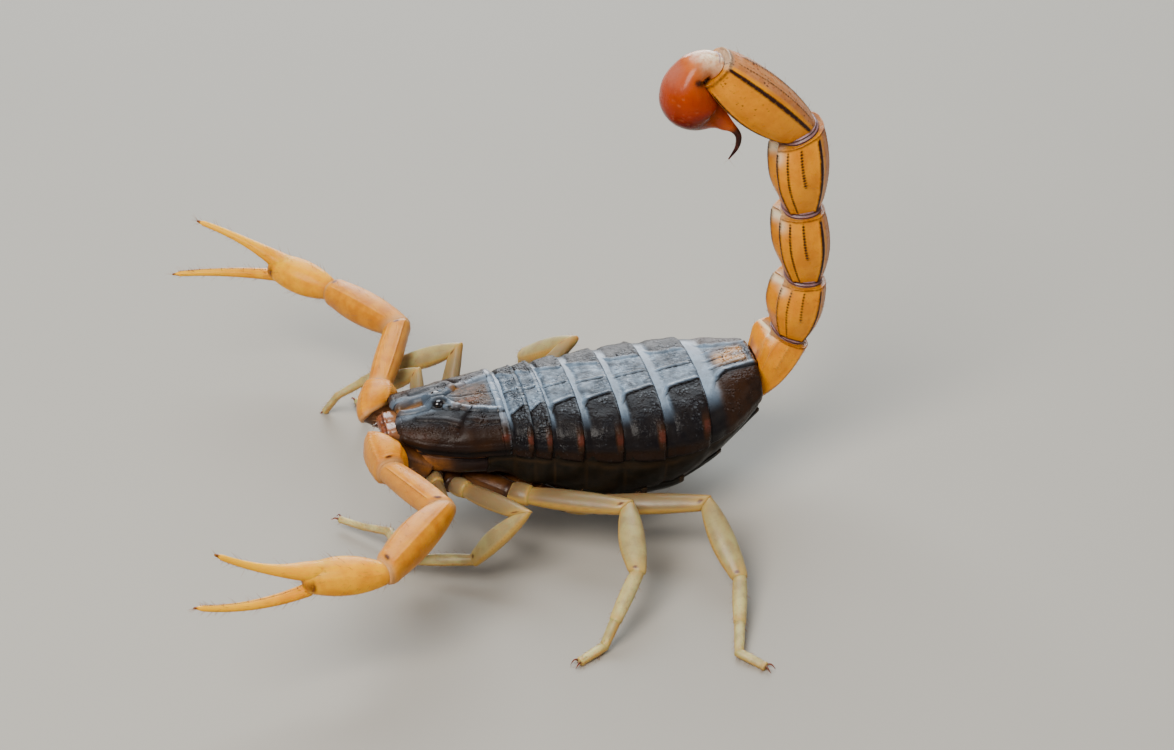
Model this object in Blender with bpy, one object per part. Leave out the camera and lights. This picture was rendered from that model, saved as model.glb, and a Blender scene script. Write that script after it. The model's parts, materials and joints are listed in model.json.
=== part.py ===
"""Indian red scorpion (Hottentotta tamulus), life size, alert with its tail raised.

Frame: the body lies along X with the head toward -X, the animal's left side is toward -Y, up is
+Z and the floor is Z = 0.  Sizes are in millimetres and angles in degrees; the finished meshes are
in metres.  The pieces are shaped around the middle of the trunk, and at the end all of them are
moved together, so that the origin lies under the middle of the whole animal.  Every plate, limb
piece, claw and eye is one closed solid, parted from its neighbours by a thin cut.  Nothing moves.
"""
import math

import bmesh
import bpy
from mathutils import Matrix, Vector

MM = 0.001
CUT = 0.05          # half of the thin cut between two limb pieces
PLATE_GAP = 0.06    # space between a shell plate and what lies under or beside it
UP = Vector((0, 0, 1))
SIDES = {"left": -1, "right": 1}

# Trunk: X, half width, then the heights of the back, of the widest line and of the belly.
TRUNK = (
    (-7.0, 4.5, 10.85, 8.8, 5.3),
    (-4.0, 5.15, 10.85, 8.5, 4.5),
    (-1.0, 5.75, 10.85, 8.3, 3.1),
    (2.0, 6.15, 10.85, 8.1, 2.1),
    (5.0, 6.3, 10.9, 8.0, 2.2),
    (8.0, 5.8, 11.0, 8.1, 4.2),
    (10.4, 4.7, 11.2, 8.5, 6.2),
    (12.6, 3.0, 11.3, 9.3, 7.3),
)
TRUNK_POWER = 2.5               # 2 would be an ellipse; more is squarer
TERGITE_EDGES = (-7.0, -5.55, -4.2, -1.9, 1.0, 4.15, 7.7, 12.6)
STERNITE_EDGES = (-2.6, 0.2, 3.0, 5.9, 8.9, 12.5)
PLATE_THICKNESS = 0.45
PLATE_STEP = 1.7                # longest facet along a plate
PLATE_LIFT = 0.12               # how far the rear edge of a plate stands proud
STERNITE_SPREAD = 52            # the sternites reach this far round from straight down

# Front shield: X, half width, then the heights of its ridge and of its side margin.
CARAPACE = (
    (-14.75, 2.45, 10.25, 9.85),
    (-14.2, 2.75, 10.4, 9.5),
    (-12.6, 3.35, 10.6, 9.0),
    (-10.0, 4.05, 10.75, 8.8),
    (-7.1, 4.45, 10.8, 8.8),
)
CARAPACE_POWER = 2.6
CARAPACE_RINGS = (-14.75, -14.3, -13.5, -12.6, -12.0, -11.6, -11.2, -10.6, -9.6, -8.4, -7.1)
CARAPACE_FLOOR = 0.6            # its flat underside is this much narrower than its margin
EYE_PLACE = (-11.6, 0.46, 10.9)
EYE_RADIUS = 0.4
EYE_SOCKET = 0.04               # space round the eye
EYE_SEGMENTS = 12
TUBERCLE_HEIGHT = 0.34
TUBERCLE_REACH = (1.5, 0.95)    # half length and half width of the mound that bears the eyes

# Underside of the front body: X, half width, height of its top and of its bottom.
BREAST = (
    (-13.9, 2.4, 8.9, 6.9),
    (-12.6, 3.1, 8.85, 5.6),
    (-10.0, 3.8, 8.7, 4.9),
    (-7.15, 4.2, 8.7, 5.1),
)
BREAST_POWER = 1.6
BREAST_RINGS = (-13.9, -12.6, -11.2, -9.8, -8.4, -7.15)
PALP_COXA_ROOT = (-12.9, 2.3, 6.9)
PALP_COXA_RADII = (0.95, 1.05, 0.95, 0.95)

# Jaws
JAW_ROOT = (-14.25, 0.6, 8.9)
JAW_LENGTH = 1.45
JAW_RADII = (0.45, 0.54, 0.45, 1.0)
JAW_DROOP = 0.08
TOOTH_LENGTH = 0.95
TOOTH_RADII = (0.26, 0.24, 0.08, 1)
TOOTH_SPREAD = 0.24             # the two teeth of a jaw lie this far to either side of its line

# Combs under the belly
COMB_ROOT = (-5.3, 1.15, 3.5)
COMB_LENGTH = 5.2
COMB_SWEEP = 42
COMB_RISE = -6
COMB_WIDTH = 0.95
COMB_THICKNESS = 0.4
COMB_TEETH = 12
COMB_TOOTH = 0.45
COMB_TOOTH_SHAPE = ((0.12, 0), (0.3, 1), (0.7, 1), (0.88, 0))   # along and out, per tooth
COMB_TAPER = 0.45               # loss of width toward the tip
COMB_PLATE = (0.7, 0.35)        # how far the plate between the combs reaches forward and out

# Tail: length, elevation in the X-Z plane, width and height of each of its five segments.
TAIL_ROOT = (12.75, 0.0, 9.2)
TAIL = (
    (4.45, 52, 4.6, 3.6),
    (5.0, 78.5, 4.55, 3.7),
    (6.1, 94, 4.4, 3.8),
    (6.55, 94, 4.45, 3.9),
    (8.9, 137, 4.45, 4.05),
)
TAIL_SWELL = (0.62, 1.0, 0.86)  # height at the start, in the middle and at the end of a segment
LAST_SWELL = 0.66               # the same at the very end of the tail
# Venom bulb and sting, ring by ring from the end of the tail: steps back and up from there, the
# way the middle line points, and the half depth and half width.
TELSON = (
    (0.0, 0.0, 137, 0.95, 1.2),
    (-0.6, 0.28, 175, 0.86, 1.2),
    (-1.35, 0.1, 215, 0.92, 1.4),
    (-1.85, -0.35, 243, 1.03, 1.65),
    (-2.15, -1.2, 255, 1.42, 1.95),
    (-2.15, -2.0, 264, 1.7, 2.12),
    (-2.03, -2.7, 274, 1.8, 2.12),
    (-1.72, -3.3, 290, 1.6, 1.92),
    (-0.95, -3.85, 320, 1.1, 1.35),
    (0.12, -4.22, 338, 0.68, 0.76),
    (0.98, -4.8, 322, 0.5, 0.54),
    (1.66, -5.4, 298, 0.38, 0.42),
    (1.98, -6.05, 272, 0.3, 0.33),
    (1.85, -6.9, 250, 0.2, 0.21),
    (1.28, -7.75, 234, 0.06, 0.06),
)
TELSON_SIDES = 12

# Pincers: lengths of the pieces, then where each side starts and the way each piece points.
# A finger's third number says how much it curls up (below 0: down) toward its tip.
PALP_LENGTHS = {"trochanter": 2.6, "femur": 6.9, "patella": 8.0, "manus": 5.2}
FINGER_LENGTH = 8.1
FIXED_FINGER_LENGTH = 6.9
PALP_ROOT = {"left": (-16.1, -2.1, 8.8), "right": (-15.8, 2.6, 8.8)}
PALP_POSE = {
    "left": {"trochanter": (-90, -2), "femur": (-68, 6), "patella": (-131, 1), "manus": (178, 3),
             "fixed": (184, 26, 0.24), "finger": (188, 6, 0.28)},
    "right": {"trochanter": (74, 12), "femur": (67, 8), "patella": (121, -2), "manus": (138, 8),
              "fixed": (153, 23, -0.15), "finger": (170, 3, -0.12)},
}
# Radii near the start, in the middle and near the end, and how tall the piece is for its width.
PALP_RADII = {
    "trochanter": (1.1, 1.5, 1.0, 1.0),
    "femur": (0.85, 1.05, 0.9, 0.95),
    "patella": (0.88, 1.38, 0.95, 0.92),
}
MANUS_RADII = (0.75, 1.35, 0.95, 1.0)
FINGER_RADII = (0.5, 0.27)
FIXED_ROOT_RADII = (0.75, 0.78, 0.55, 0.9)
FINGER_STEPS = 6
FINGER_FLATNESS = 0.85
FIXED_SPREAD = 0.66             # how far each finger's root lies from the middle of the hand
HINGE_SPREAD = 0.9
FIXED_RISE = 0.62               # the fixed finger leaves the hand this far along it

# Legs, in pairs from the front: lengths of the pieces, and the place of the first one's root.
LEG_PIECES = ("trochanter", "femur", "patella", "tibia", "basitarsus", "tarsus")
LEG_LENGTHS = {
    1: (1.3, 4.0, 4.4, 4.2, 2.8, 2.3),
    2: (1.4, 5.9, 5.3, 4.8, 3.4, 2.4),
    3: (1.6, 7.6, 5.6, 4.0, 2.0, 2.2),
    4: (2.0, 8.5, 6.4, 4.0, 2.6, 2.2),
}
LEG_ROOTS = {1: (-12.6, 2.7, 6.1), 2: (-11.1, 2.8, 5.2), 3: (-7.0, 4.2, 4.8), 4: (-3.0, 5.3, 3.8)}
COXA_ROOTS = {1: (-12.3, 1.0, 5.7), 2: (-11.2, 1.0, 5.3), 3: (-10.0, 1.1, 5.0), 4: (-8.7, 1.2, 4.7)}
COXA_RADII = (0.72, 0.82, 0.72, 0.9)
# Azimuth and elevation of every piece; the last two only state their azimuth and reach the floor.
LEG_POSE = {
    ("left", 1): ((-90, 8), (-92, 2), (172, -46), (97, -14), 127, 130),
    ("left", 2): ((-56, 6), (-59, 9), (172, -48), (155, -9), 160, 150),
    ("left", 3): ((-40, 4), (-33.5, 6.5), (-96, -20), (-131, -28), -141, -156),
    ("left", 4): ((-24, 4), (-22.5, 7), (-80, -26), (-106, -16), -107, -47),
    ("right", 1): ((80, 24), (81, 26), (138, -32), (96, -54), 90, 100),
    ("right", 2): ((60, 34), (65, 39), (150, -25), (134, -40), 134, 134),
    ("right", 3): ((34, 12), (26, 29), (125, -34), (70, -62), 60, 75),
    ("right", 4): ((20, 6), (16, 9), (35, -27), (32, -20), 30, 15),
}
LEG_RADII = {
    "trochanter": (0.72, 0.9, 0.75, 0.8),
    "femur": (0.68, 0.85, 0.6, 0.75),
    "patella": (0.55, 1.0, 0.58, 0.72),
    "tibia": (0.5, 0.56, 0.44, 0.85),
    "basitarsus": (0.42, 0.4, 0.34, 0.9),
    "tarsus": (0.36, 0.36, 0.33, 0.95),
}
LEG_SCALE = {1: 0.75, 2: 0.82, 3: 0.98, 4: 0.95}
ANKLE_HEIGHT = 0.5
TOE_HEIGHT = 0.22
# Heights of ankle and toe where they differ: the left front leg is just setting off, and the right
# second one stands steeply on its tip.
STEPPING = {("left", 1): (1.35, 1.0), ("right", 2): (2.1, 0.1)}

COLOURS = {
    "shell": (0.035, 0.042, 0.055),
    "belly": (0.02, 0.018, 0.015),
    "breast": (0.2, 0.075, 0.02),
    "jaw": (0.24, 0.07, 0.03),
    "eye": (0.004, 0.004, 0.005),
    "comb": (0.5, 0.36, 0.16),
    "tail": (0.6, 0.27, 0.04),
    "sting": (0.35, 0.05, 0.008),
    "palp": (0.66, 0.3, 0.06),
    "leg": (0.55, 0.47, 0.26),
}
ROUGHNESS = {"eye": 0.08, "sting": 0.22, "shell": 0.42, "belly": 0.5}


def clear_scene():
    for thing in list(bpy.data.objects):
        bpy.data.objects.remove(thing, do_unlink=True)


def finish(name, colour):
    """A Principled material of the piece's own."""
    material = bpy.data.materials.new(name)
    material.use_nodes = True
    shader = material.node_tree.nodes["Principled BSDF"]
    shader.inputs["Base Color"].default_value = (*COLOURS[colour], 1)
    shader.inputs["Roughness"].default_value = ROUGHNESS.get(colour, 0.35)
    shader.inputs["Metallic"].default_value = 0.0
    return material


def add_piece(name, bm, colour, smooth=True):
    """Writes a bmesh in millimetres as a named object in metres."""
    bmesh.ops.scale(bm, vec=(MM, MM, MM), verts=bm.verts)
    bmesh.ops.recalc_face_normals(bm, faces=bm.faces)
    mesh = bpy.data.meshes.new(name)
    bm.to_mesh(mesh)
    bm.free()
    mesh.materials.append(finish(name, colour))
    for face in mesh.polygons:
        face.use_smooth = smooth
    piece = bpy.data.objects.new(name, mesh)
    bpy.context.collection.objects.link(piece)
    return piece


def heading(azimuth, elevation):
    """Unit vector; azimuth is turned from +X toward +Y."""
    a = math.radians(azimuth)
    e = math.radians(elevation)
    return Vector((math.cos(e) * math.cos(a), math.cos(e) * math.sin(a), math.sin(e)))


def mirrored(point, side):
    """A place given for the right side, moved to the side asked for."""
    return Vector((point[0], SIDES[side] * point[1], point[2]))


def blend(a, b, t):
    return a + (b - a) * t


def station(table, x):
    """The row of a table of cross-sections at x, joined smoothly between its rows."""
    last = len(table) - 1
    k = 0
    while k < last - 1 and x > table[k + 1][0]:
        k += 1
    x0 = table[k][0]
    x1 = table[k + 1][0]
    t = min(max((x - x0) / (x1 - x0), 0), 1)
    row = []
    for column in range(1, len(table[0])):
        before = table[max(k - 1, 0)]
        after = table[min(k + 2, last)]
        p0 = table[k][column]
        p1 = table[k + 1][column]
        m0 = (p1 - before[column]) / (x1 - before[0]) * (x1 - x0)
        m1 = (after[column] - p0) / (after[0] - x0) * (x1 - x0)
        bend = (2 * t**3 - 3 * t**2 + 1) * p0 + (t**3 - 2 * t**2 + t) * m0
        bend += (3 * t**2 - 2 * t**3) * p1 + (t**3 - t**2) * m1
        row.append(bend)
    return row


def rounded(angle, across, along, power):
    """Point of a superellipse with the given half sizes."""
    c = math.cos(math.radians(angle))
    s = math.sin(math.radians(angle))
    return (math.copysign(abs(c) ** (2 / power), c) * across,
            math.copysign(abs(s) ** (2 / power), s) * along)


def trunk_point(x, angle, inset=0.0):
    """Point of the trunk's skin; 0 is the right margin, 90 the back, -90 the belly."""
    half, top, middle, bottom = station(TRUNK, x)
    height = (top - middle if angle >= 0 else middle - bottom) - inset
    y, z = rounded(angle, half - inset, height, TRUNK_POWER)
    return Vector((x, y, middle + z))


def loft(rings):
    """Closed solid through rings of equal count."""
    bm = bmesh.new()
    loops = []
    for ring in rings:
        loops.append([bm.verts.new(point) for point in ring])
    count = len(loops[0])
    for low, high in zip(loops, loops[1:]):
        for k in range(count):
            n = (k + 1) % count
            bm.faces.new((low[k], low[n], high[n], high[k]))
    bm.faces.new(loops[0][::-1])
    bm.faces.new(loops[-1])
    return bm


def swell(radii, t):
    """Radius along a piece that is narrow at both ends and full in between."""
    start, middle, end, _ = radii
    straight = blend(start, end, t)
    return straight + (middle - (start + end) / 2) * math.sin(math.pi * t) ** 0.8


def limb_rings(path, radii, side, first_cut=None, last_cut=None, count=8, steps=4, power=2.2):
    """Rings along a bent limb.  The ring at each bend lies in the plane that halves the bend."""
    axes = [(b - a).normalized() for a, b in zip(path, path[1:])]
    cuts = [first_cut or axes[0]]
    for a, b in zip(axes, axes[1:]):
        cuts.append((a + b).normalized())
    cuts.append(last_cut or axes[-1])
    rings = []
    for k, axis in enumerate(axes):
        across = (side - axis * side.dot(axis)).normalized()
        deep = axis.cross(across)
        length = (path[k + 1] - path[k]).length
        start_gap = CUT if k == 0 else 0
        end_gap = CUT if k == len(axes) - 1 else 0
        for step in range(steps + 1):
            if step == 0 and k > 0:
                continue
            t = step / steps
            radius = swell(radii[k], t)
            ring = []
            for n in range(count):
                u, v = rounded(360 * n / count, radius * radii[k][3], radius, power)
                offset = across * u + deep * v
                lead = start_gap - cuts[k].dot(offset) / cuts[k].dot(axis)
                tail = -end_gap - cuts[k + 1].dot(offset) / cuts[k + 1].dot(axis)
                ring.append(path[k] + offset + axis * (lead + (length + tail - lead) * t))
            rings.append(ring)
    return rings


def halving(a, b):
    """Normal of the plane between two pieces that point along a and b."""
    return (a + b).normalized()


def cut_away(target, cutter, operation="DIFFERENCE"):
    """Boolean with a hidden helper object."""
    modifier = target.modifiers.new(cutter.name, "BOOLEAN")
    modifier.operation = operation
    modifier.object = cutter
    modifier.solver = "EXACT"
    cutter.hide_render = True
    cutter.display_type = "WIRE"


def bake(target, helpers):
    """Applies the modifiers and removes the helper objects."""
    depsgraph = bpy.context.evaluated_depsgraph_get()
    mesh = bpy.data.meshes.new_from_object(target.evaluated_get(depsgraph))
    old = target.data
    target.modifiers.clear()
    target.data = mesh
    bpy.data.meshes.remove(old)
    mesh.name = target.name
    while len(mesh.materials) > 1:
        mesh.materials.pop()
    for helper in helpers:
        bpy.data.objects.remove(helper, do_unlink=True)


def ball(name, place, radius, colour):
    bm = bmesh.new()
    bmesh.ops.create_uvsphere(bm, u_segments=EYE_SEGMENTS, v_segments=EYE_SEGMENTS // 2, radius=radius)
    bmesh.ops.translate(bm, vec=place, verts=bm.verts)
    return add_piece(name, bm, colour)


def carapace_height(x, y):
    """Height of the front shield, with the mound that bears the two large eyes."""
    half, top, margin = station(CARAPACE, x)
    across = min(abs(y) / half, 1)
    arch = (1 - across**CARAPACE_POWER) ** (1 / CARAPACE_POWER)
    u = (x - EYE_PLACE[0]) / TUBERCLE_REACH[0]
    v = y / TUBERCLE_REACH[1]
    mound = TUBERCLE_HEIGHT * math.exp(-(u * u + v * v) * 1.5)
    return margin + (top - margin) * arch + mound


def build_carapace():
    rings = []
    for x in CARAPACE_RINGS:
        half, _, margin = station(CARAPACE, x)
        ring = []
        for angle in range(0, 181, 12):
            y, _ = rounded(angle, half, 1, CARAPACE_POWER)
            ring.append(Vector((x, y, carapace_height(x, y))))
        ring.append(Vector((x, -half * CARAPACE_FLOOR, margin - 0.02)))
        ring.append(Vector((x, half * CARAPACE_FLOOR, margin - 0.02)))
        rings.append(ring)
    shield = add_piece("carapace", loft(rings), "shell")
    sockets = []
    for side in SIDES:
        place = mirrored(EYE_PLACE, side)
        sockets.append(ball("socket_" + side, place, EYE_RADIUS + EYE_SOCKET, "eye"))
        cut_away(shield, sockets[-1])
        ball("median_eye_" + side, place, EYE_RADIUS, "eye")
    bake(shield, sockets)


def arch_plate(name, x0, x1, angles, colour):
    """Curved shell plate from x0 to x1 whose rear edge stands a little proud."""
    rings = []
    steps = math.ceil((x1 - x0) / PLATE_STEP)
    for k in range(steps + 1):
        t = k / steps
        x = blend(x0 + PLATE_GAP, x1 - PLATE_GAP, t)
        lift = PLATE_LIFT * (t - 0.4)
        outer = [trunk_point(x, angle, -lift) for angle in angles]
        inner = [trunk_point(x, angle, PLATE_THICKNESS) for angle in reversed(angles)]
        rings.append(outer + inner)
    add_piece(name, loft(rings), colour)


def build_tergites():
    angles = [180 * k / 12 for k in range(13)]
    for k, (x0, x1) in enumerate(zip(TERGITE_EDGES, TERGITE_EDGES[1:])):
        arch_plate(f"tergite_{k + 1}", x0, x1, angles, "shell")


def build_sternites():
    angles = [blend(-90 - STERNITE_SPREAD, -90 + STERNITE_SPREAD, k / 10) for k in range(11)]
    for k, (x0, x1) in enumerate(zip(STERNITE_EDGES, STERNITE_EDGES[1:])):
        arch_plate(f"sternite_{k + 1}", x0, x1, angles, "belly")


def build_body_wall():
    """The soft body inside the plates, which shows as the flanks between them."""
    under = PLATE_THICKNESS + 2 * PLATE_GAP
    edge = STERNITE_SPREAD + 6
    angles = [180 * k / 12 for k in range(13)]
    angles += [-176, -158, -90 - edge]
    angles += [blend(-90 - edge + 4, -90 + edge - 4, k / 8) for k in range(9)]
    angles += [-90 + edge, -22, -4]
    rings = []
    for k in range(14):
        x = blend(TERGITE_EDGES[0] + PLATE_GAP, TERGITE_EDGES[-1] - PLATE_GAP, k / 13)
        ring = []
        for angle in angles:
            covered = angle >= 0 or abs(angle + 90) < edge
            ring.append(trunk_point(x, angle, under if covered else 0.05))
        rings.append(ring)
    add_piece("body_wall", loft(rings), "belly")


def coxa(name, root, end, radii, last_cut):
    rings = limb_rings([root, end], [radii], UP, None, last_cut, count=8, steps=2)
    return add_piece(name, loft(rings), "breast")


def build_breast():
    """Underside of the front body, with the ten fixed hip pieces that carry the limbs."""
    rings = []
    for x in BREAST_RINGS:
        half, top, bottom = station(BREAST, x)
        ring = []
        for angle in range(-180, 1, 18):
            y, z = rounded(angle, half, top - bottom, BREAST_POWER)
            ring.append(Vector((x, y, top + z)))
        rings.append(ring)
    breast = add_piece("coxosternum", loft(rings), "breast")
    helpers = []
    for side in SIDES:
        root = mirrored(PALP_COXA_ROOT, side)
        end = Vector(PALP_ROOT[side])
        cut = halving((end - root).normalized(), heading(*PALP_POSE[side]["trochanter"]))
        helpers.append(coxa("palp_coxa_" + side, root, end, PALP_COXA_RADII, cut))
        for pair in LEG_ROOTS:
            root = mirrored(COXA_ROOTS[pair], side)
            end = mirrored(LEG_ROOTS[pair], side)
            cut = halving((end - root).normalized(), heading(*LEG_POSE[side, pair][0]))
            helpers.append(coxa(f"coxa_{side}_{pair}", root, end, COXA_RADII, cut))
    for helper in helpers:
        cut_away(breast, helper, "UNION")
    bake(breast, helpers)


def build_jaws():
    """Two short jaws, each ending in a pair of teeth."""
    forward = Vector((-1, 0, -JAW_DROOP)).normalized()
    for side, sign in SIDES.items():
        root = mirrored(JAW_ROOT, side)
        knuckle = root + forward * JAW_LENGTH
        rings = limb_rings([root, knuckle], [JAW_RADII], UP, count=10, steps=3)
        jaw = add_piece("chelicera_" + side, loft(rings), "jaw")
        teeth = []
        for name, spread in (("outer", TOOTH_SPREAD), ("inner", -TOOTH_SPREAD)):
            start = knuckle - forward * 0.3 + Vector((0, sign * spread, 0))
            tip = start + forward * TOOTH_LENGTH + Vector((0, -sign * spread / 2, -JAW_DROOP))
            tooth = limb_rings([start, tip], [TOOTH_RADII], UP, count=6, steps=2)
            teeth.append(add_piece(f"{name}_tooth", loft(tooth), "jaw"))
            cut_away(jaw, teeth[-1], "UNION")
        bake(jaw, teeth)


def build_combs():
    """Two toothed combs joined by the plate between them."""
    root = Vector(COMB_ROOT)
    along = heading(COMB_SWEEP, COMB_RISE)
    back = heading(COMB_SWEEP - 90, 0)
    outline = []
    for k in range(COMB_TEETH):
        for offset, out in COMB_TOOTH_SHAPE:
            t = (k + offset) / COMB_TEETH
            reach = (COMB_WIDTH + COMB_TOOTH * out) * (1 - COMB_TAPER * t)
            outline.append(root + along * COMB_LENGTH * t + back * reach)
    outline.append(root + along * COMB_LENGTH + back * COMB_WIDTH * 0.2)
    outline.append(root + along * COMB_LENGTH * 0.6 - back * COMB_WIDTH * 0.1)
    forward, out = COMB_PLATE
    outline.append(root + Vector((-forward, out - root.y, 0)))
    mirror = [Vector((p.x, -p.y, p.z)) for p in reversed(outline)]
    full = outline + mirror
    bm = loft([full, [p + UP * COMB_THICKNESS for p in full]])
    add_piece("pectines", bm, "comb", smooth=False)


def tail_path():
    path = [Vector(TAIL_ROOT)]
    for length, elevation, _, _ in TAIL:
        path.append(path[-1] + heading(0, elevation) * length)
    return path


def build_tail():
    path = tail_path()
    axes = [(b - a).normalized() for a, b in zip(path, path[1:])]
    for k, (_, _, width, height) in enumerate(TAIL):
        first = halving(axes[k - 1], axes[k]) if k else Vector((1, 0, 0))
        last = halving(axes[k], axes[k + 1]) if k < len(TAIL) - 1 else axes[k]
        radii = [part * height / 2 for part in TAIL_SWELL] + [width / height]
        if k == len(TAIL) - 1:
            radii[2] = LAST_SWELL * height / 2
        rings = limb_rings(path[k:k + 2], [radii], Vector((0, 1, 0)), first, last, count=14, steps=5,
                           power=2.7)
        add_piece(f"metasoma_{k + 1}", loft(rings), "tail")


def build_telson():
    """The venom bulb and its curved sting."""
    end = tail_path()[-1]
    rings = []
    for back, rise, way, deep, wide in TELSON:
        centre = end + Vector((back, 0, rise))
        if not rings:
            centre += heading(0, way) * CUT
        out = heading(0, way + 90)
        ring = []
        for n in range(TELSON_SIDES):
            u, v = rounded(360 * n / TELSON_SIDES, wide, deep, 2)
            ring.append(centre + Vector((0, u, 0)) + out * v)
        rings.append(ring)
    add_piece("telson", loft(rings), "sting")


def palp_path(side):
    path = [Vector(PALP_ROOT[side])]
    for piece, length in PALP_LENGTHS.items():
        path.append(path[-1] + heading(*PALP_POSE[side][piece]) * length)
    return path


def finger_path(start, way, curl, over):
    """A curve from start whose heading turns evenly; the way's last number is its length."""
    middle = heading(*way[:2])
    path = [start]
    for k in range(FINGER_STEPS):
        lean = blend(-curl, curl, (k + 0.5) / FINGER_STEPS)
        path.append(path[-1] + (middle + over * lean).normalized() * (way[2] / FINGER_STEPS))
    return path


def finger_radii():
    radii = []
    for k in range(FINGER_STEPS):
        start, middle, end = (blend(*FINGER_RADII, (k + part) / FINGER_STEPS) for part in (0, 0.5, 1))
        radii.append((start, middle, end, FINGER_FLATNESS))
    return radii


def build_hand(side, path, first_cut):
    """The hand, whose fixed finger is one with it, and the moving finger below."""
    wrist, knuckle = path
    palm = (knuckle - wrist).normalized()
    over = (UP - palm * UP.dot(palm)).normalized()
    rings = limb_rings([wrist, knuckle], [MANUS_RADII], UP, first_cut, None, count=12, steps=6)
    hand = add_piece(f"{side}_pedipalp_hand", loft(rings), "palp")
    azimuth, elevation, curl = PALP_POSE[side]["fixed"]
    way = (azimuth, elevation, FIXED_FINGER_LENGTH)
    fixed = finger_path(knuckle + over * FIXED_SPREAD, way, curl, over)
    fixed.insert(0, wrist.lerp(knuckle, FIXED_RISE) + over * FIXED_SPREAD * 0.7)
    shape = [FIXED_ROOT_RADII] + finger_radii()
    finger = add_piece("fixed_finger", loft(limb_rings(fixed, shape, UP, count=8, steps=1)), "palp")
    cut_away(hand, finger, "UNION")
    bake(hand, [finger])
    azimuth, elevation, curl = PALP_POSE[side]["finger"]
    way = (azimuth, elevation, FINGER_LENGTH)
    moving = finger_path(knuckle - over * HINGE_SPREAD, way, curl, over)
    rings = limb_rings(moving, finger_radii(), UP, palm, None, count=8, steps=1)
    add_piece(f"{side}_pedipalp_finger", loft(rings), "palp")


def build_palp(side):
    """Pincer: its first three pieces, then the hand and its fingers."""
    path = palp_path(side)
    root = mirrored(PALP_COXA_ROOT, side)
    axes = [(path[0] - root).normalized()]
    axes += [(b - a).normalized() for a, b in zip(path, path[1:])]
    for k, piece in enumerate(PALP_RADII):
        rings = limb_rings(path[k:k + 2], [PALP_RADII[piece]], UP, halving(axes[k], axes[k + 1]),
                           halving(axes[k + 1], axes[k + 2]), count=10, steps=5)
        add_piece(f"{side}_pedipalp_{piece}", loft(rings), "palp")
    build_hand(side, path[-2:], halving(axes[-2], axes[-1]))


def leg_path(side, pair):
    """Joints of a leg; its last two pieces drop to the height of the ankle and of the toe."""
    heights = STEPPING.get((side, pair), (ANKLE_HEIGHT, TOE_HEIGHT))
    path = [mirrored(LEG_ROOTS[pair], side)]
    for way, length in zip(LEG_POSE[side, pair][:4], LEG_LENGTHS[pair]):
        path.append(path[-1] + heading(*way) * length)
    for azimuth, length, height in zip(LEG_POSE[side, pair][4:], LEG_LENGTHS[pair][4:], heights):
        drop = math.degrees(math.asin((height - path[-1].z) / length))
        path.append(path[-1] + heading(azimuth, drop) * length)
    return path


def build_leg(side, pair):
    path = leg_path(side, pair)
    scale = LEG_SCALE[pair]
    radii = [tuple(r * scale for r in LEG_RADII[piece][:3]) + LEG_RADII[piece][3:] for piece in LEG_PIECES]
    root = mirrored(COXA_ROOTS[pair], side)
    axes = [(path[0] - root).normalized()]
    axes += [(b - a).normalized() for a, b in zip(path, path[1:])]
    bend = axes[2].cross(axes[3]).normalized()
    cuts = [halving(a, b) for a, b in zip(axes, axes[1:])]
    name = f"{side}_leg_{pair}_"
    rings = limb_rings(path[0:3], radii[0:2], bend, cuts[0], cuts[2], steps=3)
    add_piece(name + "femur", loft(rings), "leg")
    rings = limb_rings(path[2:4], radii[2:3], bend, cuts[2], cuts[3], steps=3)
    add_piece(name + "patella", loft(rings), "leg")
    rings = limb_rings(path[3:], radii[3:], bend, cuts[3], None, steps=2)
    for ring in rings:
        for point in ring:
            point.z = max(point.z, 0)
    add_piece(name + "tibia", loft(rings), "leg")


def settle():
    """Moves all pieces together: the origin goes under the middle of the bounding box."""
    pieces = [thing for thing in bpy.data.objects if thing.type == "MESH"]
    points = [vertex.co for piece in pieces for vertex in piece.data.vertices]
    middle = [(min(p[axis] for p in points) + max(p[axis] for p in points)) / 2 for axis in (0, 1)]
    shift = Matrix.Translation((-middle[0], -middle[1], -min(p.z for p in points)))
    for piece in pieces:
        piece.data.transform(shift)


def main():
    clear_scene()
    build_carapace()
    build_jaws()
    build_tergites()
    build_body_wall()
    build_sternites()
    build_breast()
    build_combs()
    build_tail()
    build_telson()
    for side in SIDES:
        build_palp(side)
        for pair in LEG_ROOTS:
            build_leg(side, pair)
    settle()


main()
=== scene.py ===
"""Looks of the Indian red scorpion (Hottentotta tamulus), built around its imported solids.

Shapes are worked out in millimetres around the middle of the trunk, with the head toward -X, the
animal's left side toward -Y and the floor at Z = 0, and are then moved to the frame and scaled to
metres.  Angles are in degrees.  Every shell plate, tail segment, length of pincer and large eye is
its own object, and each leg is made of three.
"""

import json
import math
from itertools import product

import bmesh
import bpy
import numpy as np
from mathutils import Matrix, Vector

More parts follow.
